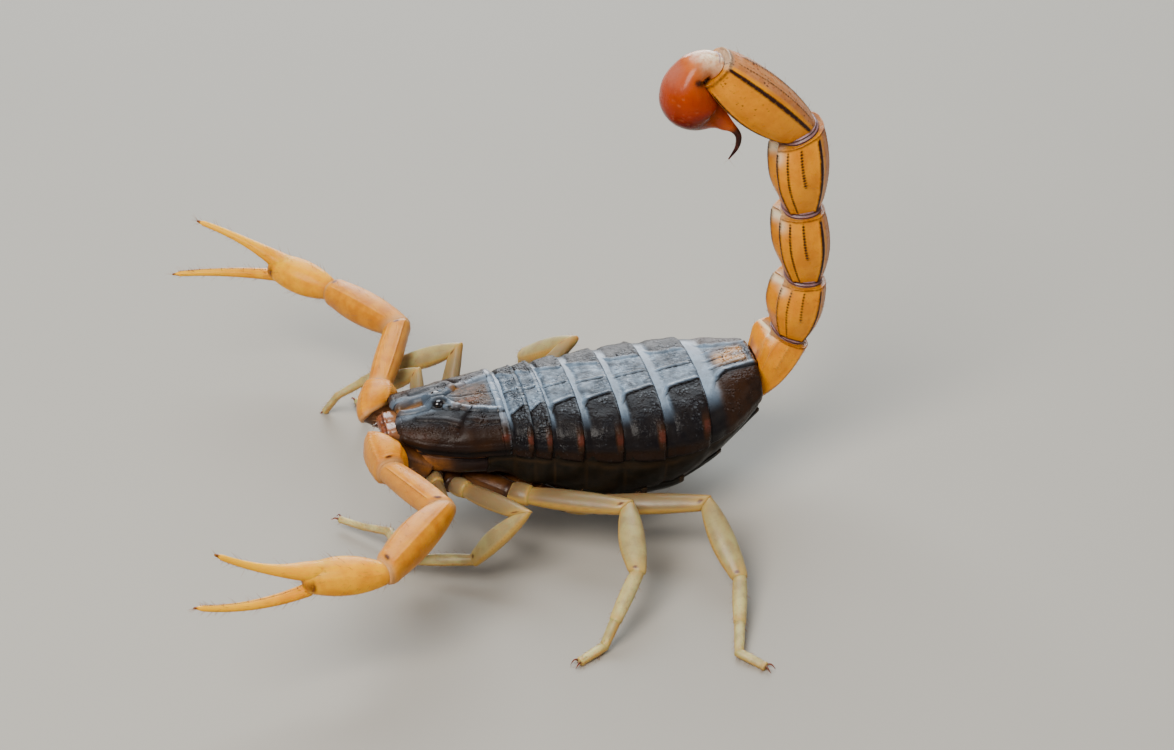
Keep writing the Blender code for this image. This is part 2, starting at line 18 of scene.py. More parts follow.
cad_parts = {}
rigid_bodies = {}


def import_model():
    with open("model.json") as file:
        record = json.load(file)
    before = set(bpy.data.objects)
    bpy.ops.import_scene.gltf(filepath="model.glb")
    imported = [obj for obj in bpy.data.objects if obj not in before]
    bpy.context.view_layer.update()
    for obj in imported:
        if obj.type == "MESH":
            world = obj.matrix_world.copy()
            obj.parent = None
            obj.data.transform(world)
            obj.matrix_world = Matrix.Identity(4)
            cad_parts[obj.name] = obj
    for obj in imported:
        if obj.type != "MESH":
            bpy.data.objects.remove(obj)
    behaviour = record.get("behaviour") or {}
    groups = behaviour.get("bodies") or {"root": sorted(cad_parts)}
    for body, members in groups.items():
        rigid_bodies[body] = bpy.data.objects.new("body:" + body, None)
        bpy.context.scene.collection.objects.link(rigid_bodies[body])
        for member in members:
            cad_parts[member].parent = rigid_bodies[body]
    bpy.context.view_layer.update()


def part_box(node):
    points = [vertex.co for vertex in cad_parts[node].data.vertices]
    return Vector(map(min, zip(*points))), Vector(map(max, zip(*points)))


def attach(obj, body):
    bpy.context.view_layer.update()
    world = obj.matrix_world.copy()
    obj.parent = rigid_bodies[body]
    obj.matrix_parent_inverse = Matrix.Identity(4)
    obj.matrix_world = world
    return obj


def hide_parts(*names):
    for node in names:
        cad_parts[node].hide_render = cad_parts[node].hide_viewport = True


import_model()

bl_info = {
    "name": "Indian Red Scorpion",
    "version": (1, 0, 0),
    "blender": (4, 5, 0),
    "location": "View3D > Sidebar > Scorpion",
    "description": "Builds the shell plates, limbs, eyes, bristles and studio of a life-size scorpion",
    "category": "Add Mesh",
}

MM = 0.001
UP = Vector((0, 0, 1))
SIDES = {"left": -1, "right": 1}

# ---- Body plan, in millimetres: the same driving sizes as the solids ----

# Trunk: X, half width, then the heights of the back, of the widest line and of the belly.
TRUNK = (
    (-7.0, 4.5, 10.85, 8.8, 5.3),
    (-4.0, 5.15, 10.85, 8.5, 4.5),
    (-1.0, 5.75, 10.85, 8.3, 3.1),
    (2.0, 6.15, 10.85, 8.1, 2.1),
    (5.0, 6.3, 10.9, 8.0, 2.2),
    (8.0, 5.8, 11.0, 8.1, 4.2),
    (10.4, 4.7, 11.2, 8.5, 6.2),
    (12.6, 3.0, 11.3, 9.3, 7.3),
)
TRUNK_POWER = 2.5
TERGITE_EDGES = (-7.0, -5.55, -4.2, -1.9, 1.0, 4.15, 7.7, 12.6)
STERNITE_EDGES = (-2.6, 0.2, 3.0, 5.9, 8.9, 12.5)
STERNITE_SPREAD = 58

# Front shield: X, half width, then the heights of its ridge and of its side margin.
CARAPACE = (
    (-14.75, 2.45, 10.25, 9.85),
    (-14.2, 2.75, 10.4, 9.5),
    (-12.6, 3.35, 10.6, 9.0),
    (-10.0, 4.05, 10.75, 8.8),
    (-7.1, 4.45, 10.8, 8.8),
)
CARAPACE_POWER = 2.6
EYE_PLACE = (-11.6, 0.46, 10.9)
EYE_RADIUS = 0.4
TUBERCLE_HEIGHT = 0.34
TUBERCLE_REACH = (1.5, 0.95)

# Underside of the front body: X, half width, height of its top and of its bottom.
BREAST = (
    (-13.9, 2.4, 8.9, 6.9),
    (-12.6, 3.1, 8.85, 5.6),
    (-10.0, 3.8, 8.7, 4.9),
    (-7.15, 4.2, 8.7, 5.1),
)
BREAST_POWER = 1.6
PALP_COXA_ROOT = (-12.9, 2.3, 6.9)
PALP_COXA_RADII = (0.95, 1.05, 0.95, 0.95)

JAW_ROOT = (-14.25, 0.6, 8.9)
JAW_LENGTH = 1.45
JAW_LIFT = 0.36                 # how much higher the jaws sit than their solids
JAW_OUT = 0.12                  # how much further out they sit

COMB_ROOT = (-5.3, 1.15, 3.5)
COMB_LENGTH = 5.2
COMB_SWEEP = 42
COMB_RISE = -6
COMB_WIDTH = 0.95
COMB_THICKNESS = 0.4

# Tail: length, elevation in the X-Z plane, width and height of each of its five segments.
TAIL_ROOT = (12.75, 0.0, 9.2)
TAIL = (
    (4.45, 52, 4.6, 3.6),
    (5.0, 78.5, 4.55, 3.7),
    (6.1, 94, 4.4, 3.8),
    (6.55, 94, 4.45, 3.9),
    (8.9, 137, 4.45, 4.05),
)
TAIL_SWELL = (0.62, 1.0, 0.86)
LAST_SWELL = 0.66
# Venom bulb and sting: steps back and up from the end of the tail, the way the middle line
# points, and the half depth and half width.
TELSON = (
    (0.0, 0.0, 137, 0.95, 1.2),
    (-0.6, 0.28, 175, 0.86, 1.2),
    (-1.35, 0.1, 215, 0.92, 1.4),
    (-1.85, -0.35, 243, 1.03, 1.65),
    (-2.15, -1.2, 255, 1.42, 1.95),
    (-2.15, -2.0, 264, 1.7, 2.12),
    (-2.03, -2.7, 274, 1.8, 2.12),
    (-1.72, -3.3, 290, 1.6, 1.92),
    (-0.95, -3.85, 320, 1.1, 1.35),
    (0.12, -4.22, 338, 0.68, 0.76),
    (0.98, -4.8, 322, 0.5, 0.54),
    (1.66, -5.4, 298, 0.38, 0.42),
    (1.98, -6.05, 272, 0.3, 0.33),
    (1.85, -6.9, 250, 0.2, 0.21),
    (1.28, -7.75, 234, 0.06, 0.06),
)

# Pincers: lengths of the pieces, where each side starts and the way each piece points.
PALP_LENGTHS = {"trochanter": 2.6, "femur": 6.9, "patella": 8.0, "manus": 5.2}
FINGER_LENGTH = 8.1
FIXED_FINGER_LENGTH = 6.9
PALP_ROOT = {"left": (-16.1, -2.1, 8.8), "right": (-15.8, 2.6, 8.8)}
PALP_POSE = {
    "left": {"trochanter": (-90, -2), "femur": (-68, 6), "patella": (-131, 1), "manus": (178, 3),
             "fixed": (184, 26, 0.24), "finger": (188, 6, 0.28)},
    "right": {"trochanter": (74, 12), "femur": (67, 8), "patella": (121, -2), "manus": (138, 8),
              "fixed": (153, 23, -0.15), "finger": (170, 3, -0.12)},
}
PALP_RADII = {
    "trochanter": (1.1, 1.5, 1.0, 1.0),
    "femur": (0.85, 1.05, 0.9, 0.95),
    "patella": (0.88, 1.38, 0.95, 0.92),
}
MANUS_RADII = (0.75, 1.35, 0.95, 1.0)
FINGER_RADII = (0.5, 0.27)
FINGER_FLATNESS = 0.85
FIXED_SPREAD = 0.66
HINGE_SPREAD = 0.9
FIXED_RISE = 0.62
FINGER_STEPS = 6

# Legs, in pairs from the front.
LEG_PIECES = ("trochanter", "femur", "patella", "tibia", "basitarsus", "tarsus")
LEG_LENGTHS = {
    1: (1.3, 4.0, 4.4, 4.2, 2.8, 2.3),
    2: (1.4, 5.9, 5.3, 4.8, 3.4, 2.4),
    3: (1.6, 7.6, 5.6, 4.0, 2.0, 2.2),
    4: (2.0, 8.5, 6.4, 4.0, 2.6, 2.2),
}
LEG_ROOTS = {1: (-12.6, 2.7, 6.1), 2: (-11.1, 2.8, 5.2), 3: (-7.0, 4.2, 4.8), 4: (-3.0, 5.3, 3.8)}
COXA_ROOTS = {1: (-12.3, 1.0, 5.7), 2: (-11.2, 1.0, 5.3), 3: (-10.0, 1.1, 5.0), 4: (-8.7, 1.2, 4.7)}
COXA_RADII = (0.72, 0.82, 0.72, 0.9)
# Azimuth and elevation of every piece; the last two only state their azimuth and reach the floor.
LEG_POSE = {
    ("left", 1): ((-90, 8), (-92, 2), (172, -46), (97, -14), 127, 130),
    ("left", 2): ((-56, 6), (-59, 9), (172, -48), (155, -9), 160, 150),
    ("left", 3): ((-40, 4), (-33.5, 6.5), (-96, -20), (-131, -28), -141, -156),
    ("left", 4): ((-24, 4), (-22.5, 7), (-80, -26), (-106, -16), -107, -47),
    ("right", 1): ((80, 24), (81, 26), (138, -32), (96, -54), 90, 100),
    ("right", 2): ((60, 34), (65, 39), (150, -25), (134, -40), 134, 134),
    ("right", 3): ((34, 12), (26, 29), (125, -34), (70, -62), 60, 75),
    ("right", 4): ((20, 6), (16, 9), (35, -27), (32, -20), 30, 15),
}
LEG_RADII = {
    "trochanter": (0.72, 0.9, 0.75, 0.8),
    "femur": (0.68, 0.85, 0.6, 0.75),
    "patella": (0.55, 1.0, 0.58, 0.72),
    "tibia": (0.5, 0.56, 0.44, 0.85),
    "basitarsus": (0.42, 0.4, 0.34, 0.9),
    "tarsus": (0.36, 0.36, 0.33, 0.95),
}
LEG_SCALE = {1: 0.75, 2: 0.82, 3: 0.98, 4: 0.95}
ANKLE_HEIGHT = 0.5
TOE_HEIGHT = 0.22
# Heights of ankle and toe where they differ: the left front leg is just setting off, and the right
# second one stands steeply on its tip.
STEPPING = {("left", 1): (1.35, 1.0), ("right", 2): (2.1, 0.1)}

# What the materials read from each point: dark keel lines (on the back plates and front shield
# also painted shade beside the ridges and under the plate edges), the place along a piece, pale or
# soft places, the tops of the grains (painted paler as glints), the place round a piece, and shining
# places (painted sheen and glints on shell, tail and sting; a real paler tone on legs, fingers and
# the last back plate's gold patch).
MARKS = ("keel", "run", "soft", "grain", "turn", "sheen")


# ---- Numbers ----

def settled_shift():
    """How far the body plan is moved so that the origin lies under the middle of the animal."""
    low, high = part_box("carapace")
    return np.array((low[0] / MM - CARAPACE[0][0], (low[1] + high[1]) / 2 / MM, 0))


SHIFT = settled_shift()


def blend(a, b, t):
    return a + (b - a) * t


def ease(t):
    """0 to 1 with soft ends."""
    t = np.clip(t, 0, 1)
    return t * t * (3 - 2 * t)


def bump(x, centre, width):
    """Smooth hill of height 1."""
    return np.exp(-((x - centre) / width) ** 2)


def heading(azimuth, elevation):
    """Unit vector; azimuth is turned from +X toward +Y."""
    a = math.radians(azimuth)
    e = math.radians(elevation)
    return Vector((math.cos(e) * math.cos(a), math.cos(e) * math.sin(a), math.sin(e)))


def mirrored(point, side):
    return Vector((point[0], SIDES[side] * point[1], point[2]))


def halving(a, b):
    """Normal of the plane between two pieces that point along a and b."""
    return (a + b).normalized()


def station(table, x):
    """The columns of a table of cross-sections at every x, joined smoothly between its rows."""
    table = np.array(table, float)
    x = np.atleast_1d(np.asarray(x, float))
    last = len(table) - 1
    k = np.clip(np.searchsorted(table[:, 0], x) - 1, 0, last - 1)
    here = table[k]
    there = table[k + 1]
    before = table[np.maximum(k - 1, 0)]
    after = table[np.minimum(k + 2, last)]
    step = (there - here)[:, :1]
    t = np.clip((x[:, None] - here[:, :1]) / step, 0, 1)
    m0 = (there - before) / (there - before)[:, :1] * step
    m1 = (after - here) / (after - here)[:, :1] * step
    rows = (2 * t**3 - 3 * t**2 + 1) * here + (t**3 - 2 * t**2 + t) * m0
    rows += (3 * t**2 - 2 * t**3) * there + (t**3 - t**2) * m1
    return rows.T[1:]


def rounded(turn, power):
    """Point of a unit superellipse at every turn."""
    c = np.cos(np.radians(turn))
    s = np.sin(np.radians(turn))
    return np.sign(c) * np.abs(c) ** (2 / power), np.sign(s) * np.abs(s) ** (2 / power)


def turned(turn, angle):
    """How far a turn lies from an angle, from -180 to 180."""
    return (turn - angle + 180) % 360 - 180


def both_sides(turn, width):
    """Smooth hills on the two sides of a piece."""
    return np.maximum(bump(turn, 180, width), bump((turn + 180) % 360, 180, width))


def wrapped(turn, way, girth=1):
    """Place of a point round and along a piece, for grains and clouds."""
    return np.column_stack((np.cos(np.radians(turn)) * girth, np.sin(np.radians(turn)) * girth, way))


def headings(path):
    """Unit vectors along the stretches of a path."""
    return [(b - a).normalized() for a, b in zip(path, path[1:])]


def swell(radii, t):
    """Radius along a piece that is narrow at both ends and full in between."""
    start, middle, end = radii[:3]
    return blend(start, end, t) + (middle - (start + end) / 2) * np.sin(np.pi * np.clip(t, 0, 1)) ** 0.8


def scatter(cell, seed):
    """Evenly spread numbers from 0 to 1, one for each whole-number cell of space."""
    mixed = cell[..., 0] * 127.1 + cell[..., 1] * 311.7 + cell[..., 2] * 74.7 + seed * 53.3
    return np.modf(np.abs(np.sin(mixed) * 43758.5453))[0]


def granules(points, size, seed=1, fullness=0.62):
    """Round grains scattered through space: 1 on top of a grain, 0 between grains."""
    place = np.asarray(points) / size
    cell = np.floor(place)
    best = np.full(len(place), 4.0)
    for corner in product((-1, 0, 1), repeat=3):
        near = cell + corner
        centre = near + 0.5
        for axis in range(3):
            centre[:, axis] += 0.7 * (scatter(near, seed + axis) - 0.5)
        radius = fullness * (0.6 + 0.5 * scatter(near, seed + 3))
        best = np.minimum(best, np.linalg.norm(place - centre, axis=1) / radius)
    return np.clip(1 - best**2, 0, 1)


def cloud(points, size, seed=1):
    """Soft noise from 0 to 1."""
    place = np.asarray(points) / size
    cell = np.floor(place)
    part = ease(place - cell)
    total = np.zeros(len(place))
    for corner in product((0, 1), repeat=3):
        weight = np.prod(np.where(corner, part, 1 - part), axis=1)
        total += weight * scatter(cell + corner, seed)
    return total


def beads(distance, along, width, pitch, seed=0.0):
    """A row of rounded teeth: distance is across the row and along is the way beside it."""
    phase = (along / pitch + seed) % 1 - 0.5
    reach = (distance / width) ** 2 + (phase * 1.9) ** 2
    return np.sqrt(np.clip(1 - reach, 0, 1))


# ---- Pieces ----

BALLS = {}


def places_of(verts):
    return np.array([vert.co for vert in verts])


def new_object(name, bm, material):
    """Turns a finished bmesh into an object of the scene."""
    mesh = bpy.data.meshes.new(name)
    bm.to_mesh(mesh)
    bm.free()
    mesh.materials.append(material)
    made = bpy.data.objects.new(name, mesh)
    bpy.context.scene.collection.objects.link(made)
    return made


def plain_ball(around, along):
    """A round ball of rings, made once for each count of rings and sides."""
    if (around, along) not in BALLS:
        bm = bmesh.new()
        for mark in MARKS:
            bm.verts.layers.float.new(mark)
        bmesh.ops.create_uvsphere(bm, u_segments=around, v_segments=along, radius=1)
        mesh = bpy.data.meshes.new("plain_ball")
        bm.to_mesh(mesh)
        bm.free()
        BALLS[around, along] = mesh
    return BALLS[around, along]


class Piece:
    """One object in the making: a bmesh whose points carry the marks that materials read."""

    def __init__(self):
        self.bm = bmesh.new()
        for mark in MARKS:
            self.bm.verts.layers.float.new(mark)

    def ball(self, around, along):
        """A closed ball of rings; gives its points, their turn in degrees and their run from 0 to 1."""
        first = len(self.bm.verts)
        self.bm.from_mesh(plain_ball(around, along))
        self.bm.verts.ensure_lookup_table()
        verts = self.bm.verts[first:]
        places = places_of(verts)
        turn = np.degrees(np.arctan2(places[:, 1], places[:, 0])) % 360
        run = 1 - np.arccos(np.clip(places[:, 2], -1, 1)) / np.pi
        return verts, turn, run

    def sheet(self, along, across):
        """A flat sheet; gives its points and their place along and across it, from 0 to 1."""
        made = bmesh.ops.create_grid(self.bm, x_segments=along, y_segments=across, size=1)
        places = places_of(made["verts"])
        return made["verts"], (places[:, 0] + 1) / 2, (places[:, 1] + 1) / 2

    def place(self, verts, points, **marks):
        """Moves points to where they belong and notes their marks."""
        for vert, point in zip(verts, np.asarray(points).tolist()):
            vert.co = point
        for mark, values in marks.items():
            layer = self.bm.verts.layers.float[mark]
            for vert, value in zip(verts, np.broadcast_to(values, len(verts)).tolist()):
                vert[layer] = value

    def thicken(self, verts, thickness):
        """Gives a sheet an inner wall."""
        faces = list({face for vert in verts for face in vert.link_faces})
        self.bm.normal_update()
        bmesh.ops.solidify(self.bm, geom=faces, thickness=thickness)

    def finish(self, name, material, node, lean=(0, 0, 0)):
        """Makes the object, in metres and in the frame, and hides the solids that it stands for."""
        bmesh.ops.recalc_face_normals(self.bm, faces=self.bm.faces)
        bmesh.ops.translate(self.bm, vec=Vector(SHIFT), verts=self.bm.verts)
        bmesh.ops.scale(self.bm, vec=(MM, MM, MM), verts=self.bm.verts)
        piece = new_object(name, self.bm, material)
        piece.data.polygons.foreach_set("use_smooth", [True] * len(piece.data.polygons))
        piece["lean"] = list(lean)
        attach(piece, "root")
        for replaced in (node,) if isinstance(node, str) else node:
            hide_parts(replaced)
        return piece


def capped(run, caps, domes):
    """Splits a run into two rounded ends and a length: gives t along the piece, how far it is
    drawn in, and how far its ends stand out."""
    first, last = caps
    t = np.clip((run - first) / (1 - first - last), 0, 1)
    start = np.clip(1 - run / first, 0, 1) * np.pi / 2
    end = np.clip(1 - (1 - run) / last, 0, 1) * np.pi / 2
    draw = np.cos(start) * np.cos(end)
    stand = domes[1] * np.sin(end) - domes[0] * np.sin(start)
    return t, draw, stand


def axes_of(start, end, side, upright=True):
    """Axis of a straight piece with its across and up directions; up is kept on the upper side."""
    axis = (end - start).normalized()
    across = (side - axis * side.dot(axis)).normalized()
    deep = axis.cross(across)
    if upright and deep.dot(UP) < -0.001:
        across = -across
        deep = -deep
    return axis, across, deep


def limb(piece, start, end, radii, side, first_cut=None, last_cut=None, around=28, along=44,
         power=2.2, caps=(0.1, 0.1), domes=(0.3, 0.3), relief=None, upright=True):
    """A straight closed limb piece whose ends lean to the planes that halve its bends.
    relief(turn, t, way) gives its extra radius and its marks."""
    verts, turn, run = piece.ball(around, along)
    axis, across, deep = axes_of(start, end, side, upright)
    length = (end - start).length
    t, draw, stand = capped(run, caps, domes)
    radius = swell(radii, t)
    extra, marks = relief(turn, t, t * length) if relief else (0, {})
    u, v = rounded(turn, power)
    u = u * (radius * radii[3] + extra) * draw
    v = v * (radius + extra) * draw
    offset = u[:, None] * np.array(across) + v[:, None] * np.array(deep)
    lean = []
    for cut in (first_cut or axis, last_cut or axis):
        lean.append(-(offset @ np.array(cut)) / cut.dot(axis))
    way = lean[0] + (length + lean[1] - lean[0]) * t + stand * radius
    points = np.array(start) + offset + way[:, None] * np.array(axis)
    marks.setdefault("run", t)
    piece.place(verts, points, turn=turn, **marks)
    return verts


def curve_at(path, t):
    """Point and heading at every t along a smooth curve through the path."""
    knots = np.array(path, float)
    gaps = np.linalg.norm(np.diff(knots, axis=0), axis=1)
    at = np.concatenate(([0], np.cumsum(gaps))) / gaps.sum()
    table = np.column_stack((at, knots))
    ahead = station(table, np.clip(t + 0.01, 0, 1)).T
    behind = station(table, np.clip(t - 0.01, 0, 1)).T
    way = ahead - behind
    return station(table, t).T, way / np.linalg.norm(way, axis=1)[:, None]


def sweep(piece, path, radius, side, around=20, along=60, power=2.0, caps=(0.06, 0.06),
          domes=(0.3, 0.6), flat=1.0, relief=None):
    """A closed piece along a curve; radius(t) is its half depth, and flat its width for that."""
    verts, turn, run = piece.ball(around, along)
    t, draw, stand = capped(run, caps, domes)
    centre, axis = curve_at(path, t)
    lift = np.array(side, float)
    across = lift - axis * (axis @ lift)[:, None]
    across /= np.linalg.norm(across, axis=1)[:, None]
    deep = np.cross(axis, across)
    size = radius(t)
    extra, marks = relief(turn, t, centre) if relief else (0, {})
    u, v = rounded(turn, power)
    u = u * (size * flat + extra) * draw
    v = v * (size + extra) * draw
    points = centre + across * u[:, None] + deep * v[:, None] + axis * (stand * size)[:, None]
    marks.setdefault("run", t)
    piece.place(verts, points, turn=turn, **marks)
    return verts


# ---- Front shield, eyes and jaws ----

# Raised keels of the front shield: height, width, shine (strength of the painted highlight
# along the keel, which also sets how dark the painted shade beside it is), and their line on the
# right side as X, Y.
SHIELD_KEELS = (
    (0.22, 0.14, 0.5, ((-10.3, 1.15), (-10.75, 0.7), (-11.25, 0.2), (-11.95, 0.2), (-12.5, 0.66),
                       (-13.3, 0.7), (-14.3, 0.45))),
    (0.2, 0.16, 1.0, ((-11.05, 0.95), (-10.2, 1.2), (-9.2, 1.6), (-7.4, 2.05))),
    (0.08, 0.16, 0.0, ((-13.3, 1.5), (-12.3, 1.8), (-11.2, 2.2), (-10.4, 2.7))),
    (0.07, 0.16, 0.0, ((-9.7, 2.4), (-8.6, 2.85), (-7.6, 3.0))),
)
SHIELD_EDGE = 0.05              # the raised rim along its rear edge
SHIELD_GRAIN = 0.15             # size of its larger grains
SHIELD_ROWS = 150
SHIELD_COLUMNS = 270
SHIELD_REACH = 93               # how far its sides reach round from the middle of the back, in degrees
SHIELD_WALL = 0.3               # thickness
GRAIN_HEIGHT = 0.028
EYE_OUT = 0.1                   # how far the lenses stand out sideways, and up
EYE_UP = 0.1


def beside(x, y, line):
    """Distance from a bent line, and the way along it."""
    best = np.full(len(x), 99.0)
    way = np.zeros(len(x))
    gone = 0.0
    for (x0, y0), (x1, y1) in zip(line, line[1:]):
        length = math.hypot(x1 - x0, y1 - y0)
        t = np.clip(((x - x0) * (x1 - x0) + (y - y0) * (y1 - y0)) / length**2, 0, 1)
        distance = np.hypot(x - x0 - t * (x1 - x0), y - y0 - t * (y1 - y0))
        closer = distance < best
        best = np.where(closer, distance, best)
        way = np.where(closer, gone + t * length, way)
        gone += length
    return best, way


def shield_point(x, angle, lift):
    """Points of the front shield, lifted off its plain surface."""
    half, top, margin = station(CARAPACE, x)
    across, up = rounded(angle, CARAPACE_POWER)
    y = (half + lift) * across
    u = (x - EYE_PLACE[0]) / TUBERCLE_REACH[0]
    v = y / TUBERCLE_REACH[1]
    mound = TUBERCLE_HEIGHT * np.exp(-(u * u + v * v) * 1.5)
    return np.column_stack((x, y, margin + (top - margin + lift) * up + mound))


def shield_relief(x, angle, plain):
    """Lift and marks of the front shield."""
    side = np.abs(plain[:, 1])
    brink = np.minimum(angle, 180 - angle)
    eye = np.hypot(x - EYE_PLACE[0], side - EYE_PLACE[1] - EYE_OUT)
    calm = np.maximum.reduce((bump(side, 0, 0.3) * (x < -9.5), bump(eye, 0, 0.62), bump(brink, 4, 8)))
    patch = ease((cloud(plain, 1.1, 5) - 0.42) * 3.5)
    coarse = granules(plain, SHIELD_GRAIN, 3, 0.55) * patch
    fine = granules(plain, SHIELD_GRAIN * 0.68, 9, 0.6)
    fine *= 0.3 + 0.7 * ease((cloud(plain, 0.8, 12) - 0.4) * 4)
    grain = np.maximum(coarse, 0.55 * fine) * (1 - calm) * (0.55 + 0.45 * ease((brink - 34) / 14))
    lift = grain * GRAIN_HEIGHT + 0.2 * (cloud(plain, 1.0, 14) - 0.5) * ease((side - 0.9) * 2)
    keel = np.zeros(len(x))
    sheen = np.zeros(len(x))
    for height, width, shine, line in SHIELD_KEELS:
        distance, _ = beside(x, side, line)
        knobs = 0.85 + 0.4 * (cloud(plain, 0.45, 15) - 0.5)
        ridge = np.exp(-(distance / width) ** 2)
        outer = ease((side - np.interp(x, *np.array(sorted(line)).T)) / 0.1 + 0.4)
        lift += height * ridge * knobs
        # Painted highlight along the top and inner side of each keel, and painted shade: a dark band just
        # outside it (keel).
        painted_highlight = bump(distance, 0, width * (1.2 + 1.3 * shine)) * (1 - 0.85 * outer)
        sheen = np.maximum(sheen, shine * painted_highlight * (0.75 + 0.25 * fine))
        keel = np.maximum(keel, (0.95 if shine else 0.5) * bump(distance, width * 1.9, width) * outer)
    inner = ease((side - 0.2) / 0.28)
    lift += (0.04 * bump(eye, 0.5, 0.07) - 0.22 * ease((0.44 - eye) / 0.12)) * inner
    lift -= 0.2 * bump(side, 0, 0.4) * ease((-12.1 - x) / 0.6) * ease((x + 14.6) / 0.5)
    lift -= 0.08 * bump(side, 0, 0.09) * ease((x + 10.9) / 0.4)
    furrow, _ = beside(x, side, ((-9.9, 0.0), (-9.3, 1.0), (-9.7, 2.1), (-10.6, 3.3)))
    lift -= 0.1 * bump(furrow, 0, 0.25) * (side > 1.5) + 0.03 * bump(furrow, 0, 0.2)
    lift += SHIELD_EDGE * ease((x + 7.45) / 0.15)
    teeth = beads(x + 7.17, np.radians(angle) * 4.3, 0.05, 0.17)
    front = beads(x + 14.62, side, 0.12, 0.22)
    lift += 0.015 * teeth + 0.05 * front + 0.08 * bump(brink, 9, 4)
    socket = bump(eye, 0.46, 0.08) * inner
    keel = np.maximum.reduce((keel, bump(brink, 3, 3.2), socket, bump(x, -7.42, 0.06)))
    hollow = bump(side, 0, 0.42) * ease((-12.3 - x) / 0.5)
    corner = 0.85 * ease((x + 7.75) / 0.25) * bump(brink, 23, 11)
    flank = (0.3 + 0.3 * ease((cloud(plain, 0.9, 8) - 0.4) * 3)) * bump(brink, 28, 30)
    back = bump(side, 0.6, 0.7) * ease((x + 10.8) / 0.8) * ease((-7.6 - x) / 0.3)
    scrawl = ease((cloud(plain * (1, 2, 1), 0.32, 19) - 0.42) * 5)
    back *= 0.5 + 0.35 * scrawl
    keel = np.maximum(keel, 0.55 * (back > 0.3) * ease((cloud(plain * (1, 2, 1), 0.25, 21) - 0.6) * 7))
    soft = np.clip(np.maximum.reduce((0.8 * hollow, corner, flank, back)), 0, 1)
    # Painted sheen: a bright band along the rear rim, and a painted reflection over the upper surfaces
    # that fades down the sides and is left off below the line of the eyes (shaded).
    rear = ease((x + 7.5) / 0.1) * ease((brink - 35) / 20)
    sheen = np.maximum.reduce((sheen, 0.15 * back * scrawl, 0.8 * rear))
    shaded = ease((side - np.interp(x, (-14.7, -11.6, -7.2), (1.2, 0.95, 2.3))) / 0.4)
    top = (0.16 + 0.2 * ease((-10.9 - x) / 0.8)) * ease((brink - 50) / 20) * (1 - 0.95 * shaded)
    sheen = np.maximum(sheen, top) * (1 - calm * bump(eye, 0, 0.7))
    grain = np.maximum.reduce((0.6 * grain, teeth, 0.5 * front))
    return lift, {"keel": keel, "soft": soft, "grain": grain, "sheen": sheen,
                  "run": (x + 14.75) / 7.65}


def arch(across, reach):
    """Angles over an arch, closer together along the middle of the back."""
    q = 2 * across - 1
    return 90 + reach * q * (0.36 + 0.64 * np.abs(q))


def make_shield(material):
    piece = Piece()
    verts, along, across = piece.sheet(SHIELD_ROWS, SHIELD_COLUMNS)
    first = CARAPACE[0][0]
    last = CARAPACE[-1][0]
    angle = arch(across, SHIELD_REACH)
    side = np.abs(np.cos(np.radians(angle)))
    lobes = 0.16 * bump(side, 0.55, 0.3) - 0.12 * bump(side, 0, 0.22)
    x = blend(first + 0.1 - lobes * (1 - along) ** 6, last, along)
    plain = shield_point(x, angle, 0)
    lift, marks = shield_relief(x, angle, plain)
    lift -= 0.22 * ease(1 - along / 0.035) ** 2 + 0.12 * ease((along - 0.975) / 0.025) ** 2
    piece.place(verts, shield_point(x, angle, lift), **marks)
    piece.thicken(verts, SHIELD_WALL)
    piece.finish("carapace_cuticle", material, "carapace")


def make_eyes(material):
    """The two large eyes, and the three small ones at each front corner."""
    for side in SIDES:
        piece = Piece()
        verts, _, _ = piece.ball(40, 24)
        places = places_of(verts) * EYE_RADIUS
        places *= np.array((1.12, 1.0, 0.98))
        piece.place(verts, places + np.array(mirrored(EYE_PLACE, side))
                    + (0, SIDES[side] * EYE_OUT, EYE_UP))
        piece.finish(f"median_eye_{side}_lens", material, f"median_eye_{side}")
    piece = Piece()
    for side in SIDES:
        for k in range(3):
            x = np.array((-14.2 + 0.42 * k,))
            angle = np.array((32.0 - 3 * k,))
            spot = shield_point(x, angle if side == "right" else 180 - angle, 0.0)[0]
            verts, _, _ = piece.ball(16, 10)
            places = places_of(verts) * (0.16 - 0.02 * k)
            piece.place(verts, places + spot)
    piece.finish("lateral_eyes_lens", material, ())


